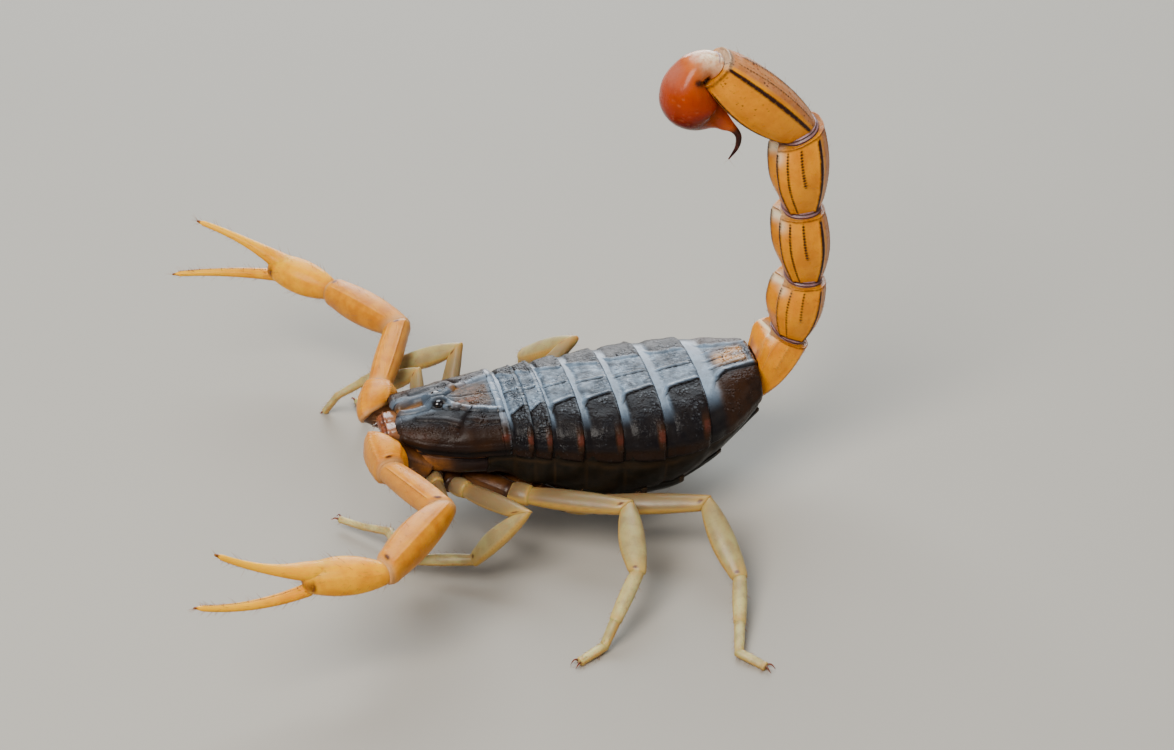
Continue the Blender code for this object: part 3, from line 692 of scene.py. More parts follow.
def make_jaws(material):
    """Two jaws: a swollen hand each, with a fixed and a moving toothed finger."""
    forward = Vector((-1, 0, -0.08)).normalized()
    for side, sign in SIDES.items():
        piece = Piece()
        root = mirrored(JAW_ROOT, side) + UP * JAW_LIFT + Vector((0, sign * JAW_OUT, 0))
        knuckle = root + forward * JAW_LENGTH

        def hand(turn, t, way):
            crest = 0.05 * bump(t, 0.86, 0.09)
            lines = 0.012 * np.sin(np.radians(turn) * 14) * ease(t * 4)
            return crest + lines, {"soft": 0.5 * (1 - t) + 0.3 * bump((turn - 90) / 30, 0, 1),
                                   "keel": 0.7 * bump(t, 0.94, 0.05)}

        limb(piece, root, knuckle, (0.66, 0.8, 0.66, 0.86), UP, around=36, along=40, power=2.4,
             caps=(0.1, 0.16), domes=(0.2, 0.6), relief=hand)
        for spread, length, drop, teeth in ((0.24, 0.95, 0.06, 3), (-0.22, 0.85, -0.02, 4)):
            start = knuckle - forward * 0.35 + Vector((0, sign * spread, -drop))
            tip = start + forward * (length + 0.1) + Vector((0, -sign * spread * 0.7, -0.12))
            middle = start.lerp(tip, 0.5) + Vector((0, sign * spread * 0.4, 0.05))
            sweep(piece, (start, middle, tip), lambda t: 0.27 * (1 - t) ** 0.75 + 0.035, UP, around=18,
                  along=26, relief=lambda turn, t, centre: (0, {"keel": ease((t - 0.45) * 2.5),
                                                                "soft": 0.25 * (1 - t)}))
            for k in range(teeth):
                t = 0.35 + 0.17 * k
                place = start.lerp(tip, t)
                point = place + Vector((-0.05, -sign * spread * 1.1, -0.02))
                spike(piece, place, point, 0.075 - 0.01 * k, keel=0.9)
        piece.finish(f"chelicera_{side}_jaw", material, f"chelicera_{side}", forward)


def spike(piece, start, end, radius, sides=6, **marks):
    """A small cone, rounded at its foot, with its tip at end."""
    axis = Vector(end) - Vector(start)
    made = bmesh.ops.create_cone(piece.bm, cap_ends=True, cap_tris=True, segments=sides,
                                 radius1=radius, radius2=radius * 0.15, depth=axis.length)
    turn = axis.to_track_quat("Z", "Y").to_matrix().to_4x4()
    place = Matrix.Translation((Vector(start) + Vector(end)) / 2) @ turn
    bmesh.ops.transform(piece.bm, matrix=place, verts=made["verts"])
    for mark, value in marks.items():
        for vert in made["verts"]:
            vert[piece.bm.verts.layers.float[mark]] = value
    return made["verts"]


# ---- Trunk ----

BAND = 0.27                     # share of a back plate that is its smooth front band
PLATE_HIDDEN = 0.35             # how far a plate reaches under the one in front of it
PLATE_OVER = 0.3                # how far its rear edge reaches over the next one
PLATE_COLUMNS = 240
PLATE_REACH = 94                # how far its sides reach round from the middle of the back, in degrees
PLATE_WALL = 0.2                # thickness of a back plate
BELLY_WALL = 0.22               # thickness of a belly plate
# Keels beside the middle of a back plate: share of its length, and distance from the middle.
MIDDLE_KEEL = ((BAND, 0.0), (0.99, 0.0))
FRONT_KEEL = ((BAND, 2.7), (0.95, 2.0))
SIDE_KEEL = ((0.12, 3.5), (0.42, 2.3), (0.99, 1.95))
LAST_KEEL = ((0.12, 3.9), (0.27, 2.45), (0.49, 1.65), (0.78, 1.45), (0.97, 1.3))
LAST_INNER_KEEL = ((0.3, 1.05), (0.6, 0.95), (0.85, 0.75))


def trunk_point(x, angle, lift):
    """Points of the trunk's skin, lifted off it; 0 is the right margin and 90 the back."""
    half, top, middle, bottom = station(TRUNK, x)
    across, up = rounded(angle, TRUNK_POWER)
    height = np.where(np.sin(np.radians(angle)) >= 0, top - middle, middle - bottom)
    return np.column_stack((x, (half + lift) * across, middle + (height + lift) * up))


def tergite_relief(number, x, share, angle, plain, length):
    """Lift and marks of a back plate; share runs from 0 at its front edge to 1 at its rear edge."""
    side = np.abs(plain[:, 1])
    brink = np.minimum(angle, 180 - angle)
    last = number == 7
    outer_keel = LAST_KEEL if last else SIDE_KEEL if number > 2 else FRONT_KEEL
    beyond = side - np.interp(share, *np.array(outer_keel).T)
    behind = ease((share - BAND) / 0.1)
    spots = ease((cloud(plain, 0.7, 40 + number) - 0.35) * 3)
    rough = ease((share - BAND - 0.08) / 0.25) * ease((brink - 18) / 20)
    rough *= np.maximum(0.8 * spots * ease((share - 0.42) / 0.2), bump(beyond, 0.75, 0.65))
    if last:
        rough *= 0.5
        rough = np.maximum(rough, ease((share - 0.35) / 0.2) * bump(side, 0.2, 1.0))
    coarse = granules(plain, 0.18, 11 + number, 0.55)
    fine = granules(plain, 0.13, 31 + number, 0.6)
    patches = ease((cloud(plain, 0.5, 33 + number) - 0.36) * 4)
    grain = np.maximum(coarse * rough, (0.2 + 0.45 * patches) * fine * behind)
    lift = -0.24 + 0.12 * ease((share - BAND) / 0.2) + 0.2 * np.clip(share - BAND, 0, 1) ** 1.5
    lift += 0.05 * bump(share, BAND * 0.6, BAND * 0.35) + 0.06 * grain
    lift += 0.1 * (cloud(plain, 0.9, 50 + number) - 0.5) * behind
    keel = np.zeros(len(x))
    # Painted shadow: a dark line on the plate just behind the rear edge of the plate in front.
    if number > 1:
        keel = 0.9 * bump(share * length, PLATE_OVER + 0.02, 0.07)
    # Painted reflection: a pale sheen over the smooth front band.
    sheen = 0.72 * (1 - ease((share - BAND) / 0.14))
    lines = [(0.1, 0.1, MIDDLE_KEEL), (0.17, 0.13, outer_keel) if number > 2 else (0.1, 0.09, outer_keel)]
    if last:
        lines = [(0.1, 0.1, ((0.2, 0.0), (0.52, 0.0))), (0.16, 0.14, outer_keel),
                 (0.08, 0.1, LAST_INNER_KEEL)]
    for height, width, line in lines:
        distance, _ = beside(share * length, side, [(s * length, y) for s, y in line])
        knobs = 0.8 + 0.4 * (cloud(plain, 0.4, 16) - 0.5)
        outer = ease((side - np.interp(share, *np.array(line).T)) / 0.08 + 0.3)
        ridge = np.exp(-(distance / width) ** 2) * ease((share - 0.16) / 0.26)
        lift += height * ridge * knobs
        # Painted highlight on the inner side of each keel, and painted shade: a dark band just outside
        # it.
        sheen = np.maximum(sheen, 0.85 * bump(distance, width, width * 2.6) * (1 - outer))
        dark = bump(distance, width * 1.6, width * 0.75) * outer * ease((share - 0.16) / 0.22)
        keel = np.maximum(keel, dark)
    # Painted reflection: patchy silvery sheen between the keels, brightest on grain tops, weaker on rough
    # patches and fading down the sides.
    painted_sheen_patches = 0.42 + 0.4 * ease((cloud(plain, 0.24, 60 + number) - 0.42) * 5)
    painted_sheen_patches += 0.3 * ease((cloud(plain, 0.8, 62 + number) - 0.4) * 4)
    sheen = np.maximum(sheen, painted_sheen_patches * (0.62 + 0.5 * fine * patches) * ease(-beyond / 0.4))
    sheen *= 1 - 0.65 * rough
    sheen *= ease((brink - 30) / 36)
    rear = (share - 1) * length
    teeth = beads(rear - PLATE_OVER + 0.1, np.radians(angle) * 6.0, 0.05, 0.17) * (not last)
    lift += 0.015 * teeth
    grain = np.maximum(grain, teeth)
    soft = 0.85 * bump(brink, 19, 15) * ease((share - 0.84) / 0.1)
    soft = np.maximum(soft, 0.3 * bump(brink, 0, 5))
    if last:
        below = ease((beyond - 0.15) / 0.4) * ease((share - 0.2) / 0.3)
        soft = np.maximum(0.5 * below, 0.8 * ease((share - 0.95) / 0.05))
        gold = ease((share - 0.3) / 0.2) * ease((0.96 - share) / 0.1) * bump(side, 0.35, 0.7)
        soft = np.maximum(soft, gold * (0.4 + 0.6 * spots))
        sheen = np.maximum(sheen, gold)
        keel = np.maximum(keel, 0.4 * below * spots)
    lift += 0.1 * bump(brink, 5, 5)
    return lift, {"keel": keel, "soft": soft, "grain": grain, "sheen": sheen, "run": share}


def make_tergites(material):
    for k, (x0, x1) in enumerate(zip(TERGITE_EDGES, TERGITE_EDGES[1:])):
        number = k + 1
        length = x1 - x0
        piece = Piece()
        rows = max(36, round(length / 0.06))
        verts, along, across = piece.sheet(rows, PLATE_COLUMNS)
        front = x0 - (PLATE_HIDDEN if number > 1 else 0.1)
        x = blend(front, x1 + (PLATE_OVER if number < 7 else 0.0), along)
        angle = arch(across, PLATE_REACH)
        middle = np.sin(np.radians(np.clip(angle, 0, 180)))
        x = x - 0.28 * (1 - middle) * along * (number < 7)
        share = (x - x0) / length
        plain = trunk_point(x, angle, 0)
        lift, marks = tergite_relief(number, x, share, angle, plain, length)
        lift -= 0.1 * ease((along - 0.96) / 0.04) ** 2
        piece.place(verts, trunk_point(x, angle, lift), **marks)
        piece.thicken(verts, PLATE_WALL)
        piece.finish(f"tergite_{number}_cuticle", material, f"tergite_{number}")


def belly_sag(x, depth):
    """How far the lower flanks hang out in front; depth is the angle below the widest line."""
    return 0.95 * bump(depth, 44, 26) * ease((x + 8.2) / 2.6) * ease((4.5 - x) / 5.5)


def make_body_wall(material):
    """The soft skin between back and belly plates, folded along the flanks."""
    piece = Piece()
    verts, turn, run = piece.ball(150, 170)
    t, draw, _ = capped(run, (0.11, 0.03), (0.0, 0.0))
    x = blend(TERGITE_EDGES[0] - 1.7, TERGITE_EDGES[-1] - 0.06, t)
    angle = (turn + 180) % 360 - 180
    plain = trunk_point(x, angle, 0)
    depth = np.minimum(np.abs(angle), 180 - np.abs(angle))
    flank = (angle < 0) * bump(depth, 18, 22)
    wrinkles = cloud(plain * (0.6, 1, 1), 0.3, 4)
    lift = blend(-0.1, -0.5, np.maximum(ease((STERNITE_SPREAD - 4 - np.abs(angle + 90)) / 4),
                                        ease((angle + 4) / 4) * ease((184 - angle) / 4)))
    seam = np.min(np.abs(x[:, None] - np.array(TERGITE_EDGES)[None, :] - PLATE_OVER), axis=1)
    fold = bump(depth + 3 * cloud(plain, 1.0, 6), 9, 1.6)
    lift += flank * (0.06 * wrinkles + 0.1 * ease(seam / 0.7)) - 0.05 * fold * (angle < 0)
    lift += belly_sag(x, depth) * (angle < 0)
    points = trunk_point(x, angle, lift)
    centre = station(TRUNK, x)[2]
    points[:, 1] *= draw
    points[:, 2] = centre + (points[:, 2] - centre) * draw
    soft = np.maximum(0.45 * bump(seam, 0, 0.07), 0.5 * fold) + 0.15 * wrinkles
    piece.place(verts, points, soft=soft * flank, grain=0.4 * granules(plain, 0.16, 5) * flank, run=t)
    piece.finish("body_wall_skin", material, "body_wall")


def make_sternites(material):
    for k, (x0, x1) in enumerate(zip(STERNITE_EDGES, STERNITE_EDGES[1:])):
        number = k + 1
        piece = Piece()
        verts, along, across = piece.sheet(46, 96)
        x = blend(x0 - (0.3 if k else 0.0), x1 + (0.1 if number < 5 else 0.0), along)
        angle = blend(-90 - STERNITE_SPREAD, -90 + STERNITE_SPREAD, across)
        share = (x - x0) / (x1 - x0)
        plain = trunk_point(x, angle, 0)
        grain = granules(plain, 0.2, 60 + k) * ease((share - 0.7) * 3) * (0.3 if number < 5 else 0.7)
        lift = -0.16 + 0.22 * np.clip(share, 0, 1) ** 1.3 + 0.035 * grain
        lift += belly_sag(x, np.minimum(-angle, 180 + angle))
        lift -= 0.16 * ease((np.abs(across - 0.5) - 0.44) / 0.06)
        side = np.abs(plain[:, 1])
        slit = np.hypot((share - 0.45) / 0.13, (side - 3.3) / 0.55) * (number < 5) + 9 * (number == 5)
        lift -= 0.12 * np.exp(-slit**4)
        keel = np.maximum(np.exp(-slit**4), 0.5 * ease((share - 0.93) / 0.05))
        if number > 3:
            for y in (0.9, 2.1):
                ridge = bump(side, y, 0.1) * ease((share - 0.15) * 4)
                lift += 0.07 * ridge
                keel = np.maximum(keel, 0.7 * bump(side, y, 0.12) * ease((share - 0.15) * 4))
        soft = ease((share - 0.88) / 0.1)
        piece.place(verts, trunk_point(x, angle, lift), keel=keel, grain=grain, run=share, soft=soft)
        piece.thicken(verts, BELLY_WALL)
        piece.finish(f"sternite_{number}_cuticle", material, f"sternite_{number}")


# ---- Underside of the front body ----

def hip_relief(turn, t, way):
    """A hip piece: two dark granulated ridges and a dark far rim."""
    ridge = np.maximum(bump(turn, 60, 9), bump(turn, 300, 9))
    rim = bump(t, 0.97, 0.05)
    teeth = 0.6 + 0.4 * np.abs(np.cos(np.pi * way / 0.3))
    return 0.05 * ridge * teeth + 0.04 * rim, {"keel": np.maximum(0.5 * ridge * teeth, 0.5 * rim),
                                               "grain": 0.5 * ridge * teeth, "soft": 0.5 - 0.4 * t}


HIP_WALL = (-13.7, -4.4)        # where the wall between shield and hips starts and ends


def make_hips(material):
    """Breast, the fixed hip pieces of palps and legs, and the small plates between them."""
    piece = Piece()
    verts, turn, run = piece.ball(90, 70)
    t, draw, _ = capped(run, (0.05, 0.05), (0, 0))
    x = blend(BREAST[0][0] + 0.1, BREAST[-1][0] - 0.05, t)
    half, top, bottom = station(BREAST, x)
    across, up = rounded(turn, BREAST_POWER)
    up = np.where(up > 0, 0.1 * up, up)
    points = np.column_stack((x, half * across * draw, top + (top - bottom) * up * draw))
    seams = np.abs((turn - 270) / 30 % 1 - 0.5)
    piece.place(verts, points, run=t, keel=0.4 * bump(seams, 0.5, 0.08), soft=0.35)
    verts, turn, run = piece.ball(110, 90)
    t, draw, _ = capped(run, (0.06, 0.06), (0, 0))
    x = blend(*HIP_WALL, t)
    half, _, margin = station(CARAPACE, x)
    across, up = rounded(turn, 2.4)
    plain = np.column_stack((x, half * across, margin - 1.4 + 1.55 * up))
    lift = 0.16 * (cloud(plain, 0.9, 17) - 0.5) - 0.12 * bump(plain[:, 2], 8.3, 0.25)
    points = np.column_stack((x, (half - 0.22 + lift) * across * draw, margin - 1.4 + 1.55 * up * draw))
    keel = np.maximum(bump(plain[:, 2], 8.35, 0.14), 0.85 * ease((x + 12.2) / 2.4))
    piece.place(verts, points, run=t, soft=0.9 * ease((-10.6 - x) / 2.6), keel=keel,
                grain=0.3 * granules(plain, 0.2, 18))
    for side in SIDES:
        root = mirrored(PALP_COXA_ROOT, side)
        end = Vector(PALP_ROOT[side])
        cut = halving((end - root).normalized(), heading(*PALP_POSE[side]["trochanter"]))
        limb(piece, root, end, PALP_COXA_RADII, UP, None, cut, 40, 44, relief=hip_relief)
        lobe = root + Vector((-1.5, -0.75 * SIDES[side], -0.15))
        sweep(piece, (root, root.lerp(lobe, 0.5), lobe), lambda t: 0.62 - 0.3 * t, UP, 24, 24,
              relief=lambda turn, t, centre: (0, {"soft": 0.7, "keel": 0.3 * bump(t, 0.9, 0.1)}))
        for pair in LEG_ROOTS:
            root = mirrored(COXA_ROOTS[pair], side)
            end = mirrored(LEG_ROOTS[pair], side)
            cut = halving((end - root).normalized(), heading(*LEG_POSE[side, pair][0]))
            limb(piece, root, end, COXA_RADII, UP, None, cut, 36, 50, relief=hip_relief)
            if pair < 3:
                lobe = root + Vector((-1.2, -0.1 * SIDES[side], 0.2 - 0.1 * pair))
                sweep(piece, (root, root.lerp(lobe, 0.5), lobe), lambda t: 0.5 - 0.2 * t, UP, 20, 20,
                      relief=lambda turn, t, centre: (0, {"soft": 0.6}))
    for x, reach, width in ((-8.1, 0.75, 0.55), (-7.2, 0.55, 1.0)):
        verts, _, _ = piece.ball(28, 16)
        places = places_of(verts) * (reach, width, 0.3)
        places[:, 2] -= 0.1 * bump(places[:, 1], 0, 0.08)
        piece.place(verts, places + (x, 0, station(BREAST, x)[2][0] - 0.02), soft=0.6,
                    keel=0.8 * bump(places[:, 1], 0, 0.05))
    piece.finish("coxosternum_cuticle", material, "coxosternum")


COMB_TEETH = 34


def make_combs(material):
    """Two combs: a jointed back edge, a row of small knobs and a row of fine teeth each."""
    piece = Piece()
    for side, sign in SIDES.items():
        root = mirrored(COMB_ROOT, side) + Vector((0, 0, COMB_THICKNESS / 2))
        along = heading(COMB_SWEEP, COMB_RISE)
        along.y *= sign
        back = heading(COMB_SWEEP - 90, 0)
        back.y *= sign
        end = root + along * COMB_LENGTH

        def plate(turn, t, centre):
            joints = bump((t * 3) % 1, 0.02, 0.03)
            return -0.06 * joints, {"keel": 0.5 * joints, "soft": 0.6}

        sweep(piece, (root, root.lerp(end, 0.5), end), lambda t: 0.3 - 0.1 * t, UP, 20, 60, flat=0.7,
              relief=plate)
        inner = [root + back * 0.42, root.lerp(end, 0.5) + back * 0.36, end + back * 0.1]
        sweep(piece, inner, lambda t: 0.3 - 0.14 * t, UP, 20, 60, flat=0.5, relief=plate)
        for k in range(COMB_TEETH):
            t = (k + 0.5) / COMB_TEETH
            reach = 1 - 0.45 * t
            place = root + along * COMB_LENGTH * t
            knob = place + back * (COMB_WIDTH - 0.3) * reach
            verts, _, _ = piece.ball(8, 6)
            ring = places_of(verts) * 0.13 * reach
            piece.place(verts, ring + np.array(knob), soft=0.4)
            tip = place + back * (COMB_WIDTH + 0.4) * reach
            verts, _, _ = piece.ball(8, 8)
            ring = places_of(verts)
            lean = Vector(back).lerp(along, 0.12).normalized()
            aside = UP.cross(lean)
            shape = ring[:, :1] * np.array(aside) * 0.062 + ring[:, 1:2] * np.array(UP) * 0.12
            shape = shape + ring[:, 2:] * np.array(lean) * 0.36 * reach
            piece.place(verts, shape + np.array(knob.lerp(tip, 0.5)), soft=0.9)
    verts, _, _ = piece.ball(32, 20)
    places = places_of(verts) * (0.85, 1.35, 0.24)
    places[:, 0] -= 0.1 * np.abs(places[:, 1])
    piece.place(verts, places + (COMB_ROOT[0] - 0.1, 0, COMB_ROOT[2] + 0.22), soft=0.3,
                keel=0.6 * bump(places[:, 1], 0, 0.05))
    piece.finish("pectines_comb", material, "pectines")


# ---- Tail ----

# Keels of a tail segment, away from the middle of its back: angle, height, width in degrees,
# where along the segment it starts and ends, how dark it is and how clearly it is beaded.
TAIL_KEELS = (
    (20, 0.16, 6.5, 0.0, 1.0, 0.9, 0.5),
    (47, 0.1, 4.6, 0.03, 1.0, 1.0, 0.9),
    (80, 0.08, 4.0, 0.42, 1.0, 0.95, 0.9),
    (114, 0.14, 7.0, 0.0, 1.0, 1.0, 0.12),
    (154, 0.08, 4.6, 0.05, 1.0, 0.8, 0.7),
)
LAST_SEGMENT_KEELS = (
    (38, 0.1, 5.0, 0.04, 0.96, 0.95, 0.5),
    (113, 0.16, 7.5, 0.02, 1.03, 1.0, 0.15),
    (146, 0.06, 4.5, 0.1, 0.95, 0.7, 1.0),
    (180, 0.09, 4.5, 0.06, 0.92, 0.9, 1.0),
)
BEAD_PITCH = 0.24
SEGMENT_TONES = (0.35, 0.8, 1.0, 1.0, 1.0)
KEEL_BEND = 24                  # how far the upper keels turn down toward the base, in degrees
TAIL_SIDES = 190
TAIL_RINGS = 120
JOINT_REACH = 0.42              # how far the skin of a joint goes into the pieces beside it
JOINT_SHARE = 0.69              # its height as a share of the segment's
LAST_JOINT_SHARE = 0.42


def tail_path():
    path = [Vector(TAIL_ROOT)]
    for length, elevation, _, _ in TAIL:
        path.append(path[-1] + heading(0, elevation) * length)
    return path


def tail_relief(number):
    """Relief of a tail segment: furrowed back, keels, fine grains and a smooth far rim."""
    keels = LAST_SEGMENT_KEELS if number == 5 else TAIL_KEELS

    def relief(turn, t, way):
        away = np.abs(turned(turn, 90))
        lift = -0.42 * bump(away, 0, 13) * ease(t * 3.2) * ease((1.06 - t) * 5)
        lift += 0.1 * bump(away, 30, 14) * ease(t * 2)
        if number < 5:
            lift += (0.22 * bump(away, 18, 8) - 0.05) * ease((t - 0.45) * 2.0)
        dark = np.zeros(len(t))
        grain = np.zeros(len(t))
        for angle, height, width, first, last, tone, beaded in keels:
            here = ease((t - first) * 14) * ease((last - t) * 14)
            bent = angle + (KEEL_BEND * (1 - t) ** 2.2 if angle < 100 and number < 5 else 0)
            distance = (away - bent) / width
            knobs = np.abs(np.cos(np.pi * way / BEAD_PITCH + angle)) ** 0.8
            shape = np.exp(-distance**2) * here * (1 - beaded * 0.6 * (1 - knobs))
            lift += height * shape
            spots = np.exp(-(distance / 0.8) ** 2) * here * (1 - beaded * 0.75 * (1 - knobs))
            dark = np.maximum(dark, tone * SEGMENT_TONES[number - 1] * spots)
            grain = np.maximum(grain, shape)
        place = wrapped(turn, way, 2)
        fine = granules(place, 0.2, 70 + number, 0.5)
        rough = 0.35 + (0.65 if number == 5 else 0.35) * ease((away - 120) / 15)
        lift += 0.022 * fine * rough
        brink = bump(t, 1.0, 0.035)
        dark = np.maximum(dark, 0.55 * bump(t, 0.985, 0.025))
        if number == 5:
            dark = np.maximum(dark, 0.8 * bump(t, 0.03, 0.03))
        lift += 0.07 * brink
        under = ease((away - 124) / 10)
        soft = 0.8 * under
        spotted = granules(place, 0.3, 75 + number, 0.42) * ease((cloud(place, 0.8, 76) - 0.4) * 4)
        freckles = ease((spotted - 0.25) * 3)
        if number == 5:
            dark = np.maximum(dark, 0.6 * freckles * bump(away, 80, 26))
            dark = np.maximum(dark, 0.6 * freckles * under)
            # Painted highlight: a cream glint at the far end of the underside.
            sheen = 0.4 * ease((t - 0.95) / 0.04) * ease((away - 100) / 20)
        else:
            bare = ease((14 + KEEL_BEND * (1 - t) ** 2.2 - away) / 8) * ease((0.34 - t) / 0.2)
            soft = np.maximum(soft, 0.9 * bare)
            # Painted highlight: cream glints along the back furrow and near its far end.
            sheen = np.maximum(0.5 * bump(away, 0, 9) * ease((t - 0.6) / 0.2),
                               bump(away, 8, 24) * bump(t, 0.9, 0.1))
            dark = np.maximum(dark, 0.9 * ease((0.1 - t) / 0.06))
        return lift, {"keel": dark, "soft": soft, "grain": np.maximum(grain, 0.7 * fine * rough),
                      "sheen": sheen}

    return relief


def make_tail(material, membrane):
    path = tail_path()
    axes = headings(path)
    across = Vector((0, 1, 0))
    for k, (_, _, width, height) in enumerate(TAIL):
        first = halving(axes[k - 1], axes[k]) if k else Vector((1, 0, 0))
        last = halving(axes[k], axes[k + 1]) if k < len(TAIL) - 1 else axes[k]
        radii = [part * height / 2 for part in TAIL_SWELL] + [width / height]
        if k == len(TAIL) - 1:
            radii[2] = LAST_SWELL * height / 2
        piece = Piece()
        limb(piece, path[k], path[k + 1], radii, across, first, last, TAIL_SIDES, TAIL_RINGS, 2.6,
             (0.04, 0.05), (0.25, -0.06), tail_relief(k + 1), upright=False)
        piece.finish(f"metasoma_{k + 1}_cuticle", material, f"metasoma_{k + 1}", axes[k])
    piece = Piece()
    for k, joint in enumerate(path):
        axis = axes[min(k, 4)] if k in (0, 5) else halving(axes[k - 1], axes[k])
        radius = (JOINT_SHARE if k < 5 else LAST_JOINT_SHARE) * TAIL[min(k, 4)][3] / 2
        start = joint - axis * JOINT_REACH
        end = joint + axis * JOINT_REACH

        # The skin is paler on the crests of its folds and darker in their creases: painted highlight and
        # shade following the folds.
        def folds(turn, t, way):
            return 0.05 * np.cos(t * np.pi * 6), {"soft": 0.5 + 0.5 * np.cos(t * np.pi * 6)}

        limb(piece, start, end, (radius, radius * 1.04, radius, 1.2), across, around=64, along=40,
             caps=(0.12, 0.12), domes=(0.1, 0.1), relief=folds, upright=False)
    piece.finish("tail_joint_skin", membrane, ())


def make_telson(material):
    """The venom bulb and its curved sting."""
    piece = Piece()
    end = tail_path()[-1]
    rows = np.array(TELSON)
    at = np.linspace(0, 1, len(rows))
    table = np.column_stack((at, rows))
    verts, turn, run = piece.ball(88, 170)
    t, draw, _ = capped(run, (0.015, 0.01), (0.1, 0.5))
    back, rise, way, deep, wide = station(table, t)
    out = np.radians(way + 90)
    u, v = rounded(turn, 2.1)
    bulb = ease((t - 0.18) / 0.12) * ease((0.62 - t) / 0.1)
    place = np.column_stack((u * wide, v * deep, t * 16))
    dimples = granules(place, 0.5, 21, 0.5) * bulb
    seam = bump(turn, 90, 9) * bulb
    lift = -0.02 * dimples + 0.03 * cloud(place, 1.1, 3) * bulb - 0.02 * seam
    lift += 0.4 * bump(turn, 90, 62) * bulb + 0.75 * bump(turn, 90, 55) * bump(t, 0.61, 0.07)
    lift -= 0.24 * deep * ease((t - 0.7) / 0.08)
    u = u * (wide + lift) * draw
    v = v * (deep + lift) * draw
    centre = np.column_stack((end.x + back, 0 * back, end.z + rise))
    points = centre + np.column_stack((np.cos(out) * v, u, np.sin(out) * v))
    # The pale neck patch (sheen) is partly the neck's own paler colour and partly a painted glint.
    neck = ease((0.15 - t) / 0.08) * bump(turn, 262, 62)
    # Painted shade: a dark line in the crease where the bulb rises from its neck.
    crease = bump(t, 0.2, 0.03) * ease((np.cos(np.radians(turn - 90)) + 0.3) * 2)
    rim = 0.55 * bump(turn, 270, 45) * ease((t - 0.16) / 0.05) * ease((0.34 - t) / 0.1)
    piece.place(verts, points, run=t, keel=np.maximum(0.9 * crease, 0.2 * seam), soft=rim,
                grain=dimples, sheen=neck)
    piece.finish("telson_cuticle", material, "telson", (0, 0, -0.5))


# ---- Pincers ----

# Keels of the pincers' pieces: angle, height, width in degrees and how dark each is.
PALP_KEELS = {
    "trochanter": ((40, 0.09, 7, 0.45), (95, 0.07, 6, 0.35), (140, 0.09, 7, 0.45),
                   (225, 0.07, 6, 0.4), (320, 0.08, 6, 0.45)),
    "femur": ((35, 0.07, 5, 0.9), (145, 0.07, 5, 0.9), (215, 0.06, 5, 0.7), (325, 0.06, 5, 0.7)),
    "patella": ((28, 0.06, 5, 0.6), (90, 0.03, 5, 0.25), (152, 0.06, 5, 0.7), (212, 0.05, 5, 0.55),
                (328, 0.05, 5, 0.5)),
}


def palp_relief(piece_name, seed):
    def relief(turn, t, way):
        dark = np.zeros(len(t))
        lift = np.zeros(len(t))
        knobs = np.abs(np.cos(np.pi * way / 0.24)) ** 0.8
        for angle, height, width, tone in PALP_KEELS[piece_name]:
            away = turned(turn, angle)
            shape = np.exp(-(away / width) ** 2) * ease(t * 8) * ease((1 - t) * 8)
            lift += height * shape * (0.55 + 0.45 * knobs)
            dark = np.maximum(dark, tone * np.exp(-(away / width / 0.7) ** 2) * (0.45 + 0.55 * knobs)
                              * ease(t * 8) * ease((1 - t) * 8))
        place = wrapped(turn, way)
        fine = granules(place, 0.17, seed, 0.5)
        lift += 0.012 * fine + 0.05 * bump(t, 0.93, 0.05) - 0.06 * bump(t, 1.0, 0.03)
        hinge = both_sides(turn, 13) * bump(t, 0.945, 0.025)
        dark = np.maximum.reduce((0.7 * dark, 0.95 * hinge, 0.3 * bump(t, 0.985, 0.012)))
        joint = np.maximum(bump(t, 0.0, 0.06), bump(t, 1.0, 0.04))
        # The upper side is tinted paler pinkish-tan (soft) and marked with sheen: partly the arms' own
        # two-tone colour, partly a painted highlight where the light falls on top.
        top = ease(np.sin(np.radians(turn)) * 2.4 - 0.8)
        return lift, {"keel": dark, "grain": 0.4 * fine, "soft": np.maximum(0.9 * joint, 0.35 * top),
                      "sheen": top}

    return relief


def hand_relief(turn, t, way):
    place = wrapped(turn, way)
    lift = 0.02 * cloud(place, 0.6, 6)
    ridge = np.zeros(len(t))
    for angle in (60, 120, 240, 300):
        ridge = np.maximum(ridge, bump(turned(turn, angle), 0, 7))
    lift += 0.03 * ridge * ease(t * 3) * ease((1 - t) * 4)
    hinge = bump(turn, 270, 34) * bump(t, 0.97, 0.05)
    return lift, {"keel": np.maximum(0.12 * ridge * ease(t * 3) * ease((0.9 - t) * 4), 0.8 * hinge),
                  "soft": 0.7 * bump(t, 0, 0.06)}


def palp_path(side):
    path = [Vector(PALP_ROOT[side])]
    for piece, length in PALP_LENGTHS.items():
        path.append(path[-1] + heading(*PALP_POSE[side][piece]) * length)
    return path


def finger_path(start, way, curl, over):
    """A curve from start whose heading turns evenly; the way's last number is its length."""
    middle = heading(*way[:2])
    path = [start]
    for k in range(FINGER_STEPS):
        lean = blend(-curl, curl, (k + 0.5) / FINGER_STEPS)
        path.append(path[-1] + (middle + over * lean).normalized() * (way[2] / FINGER_STEPS))
    return path


FINGER_TEETH = 56
TEETH_IN_ROW = 7


def finger_marks(turn, t, centre):
    return 0, {"sheen": ease((t - 0.05) * 1.4), "keel": 0.8 * ease((t - 0.96) / 0.04)}


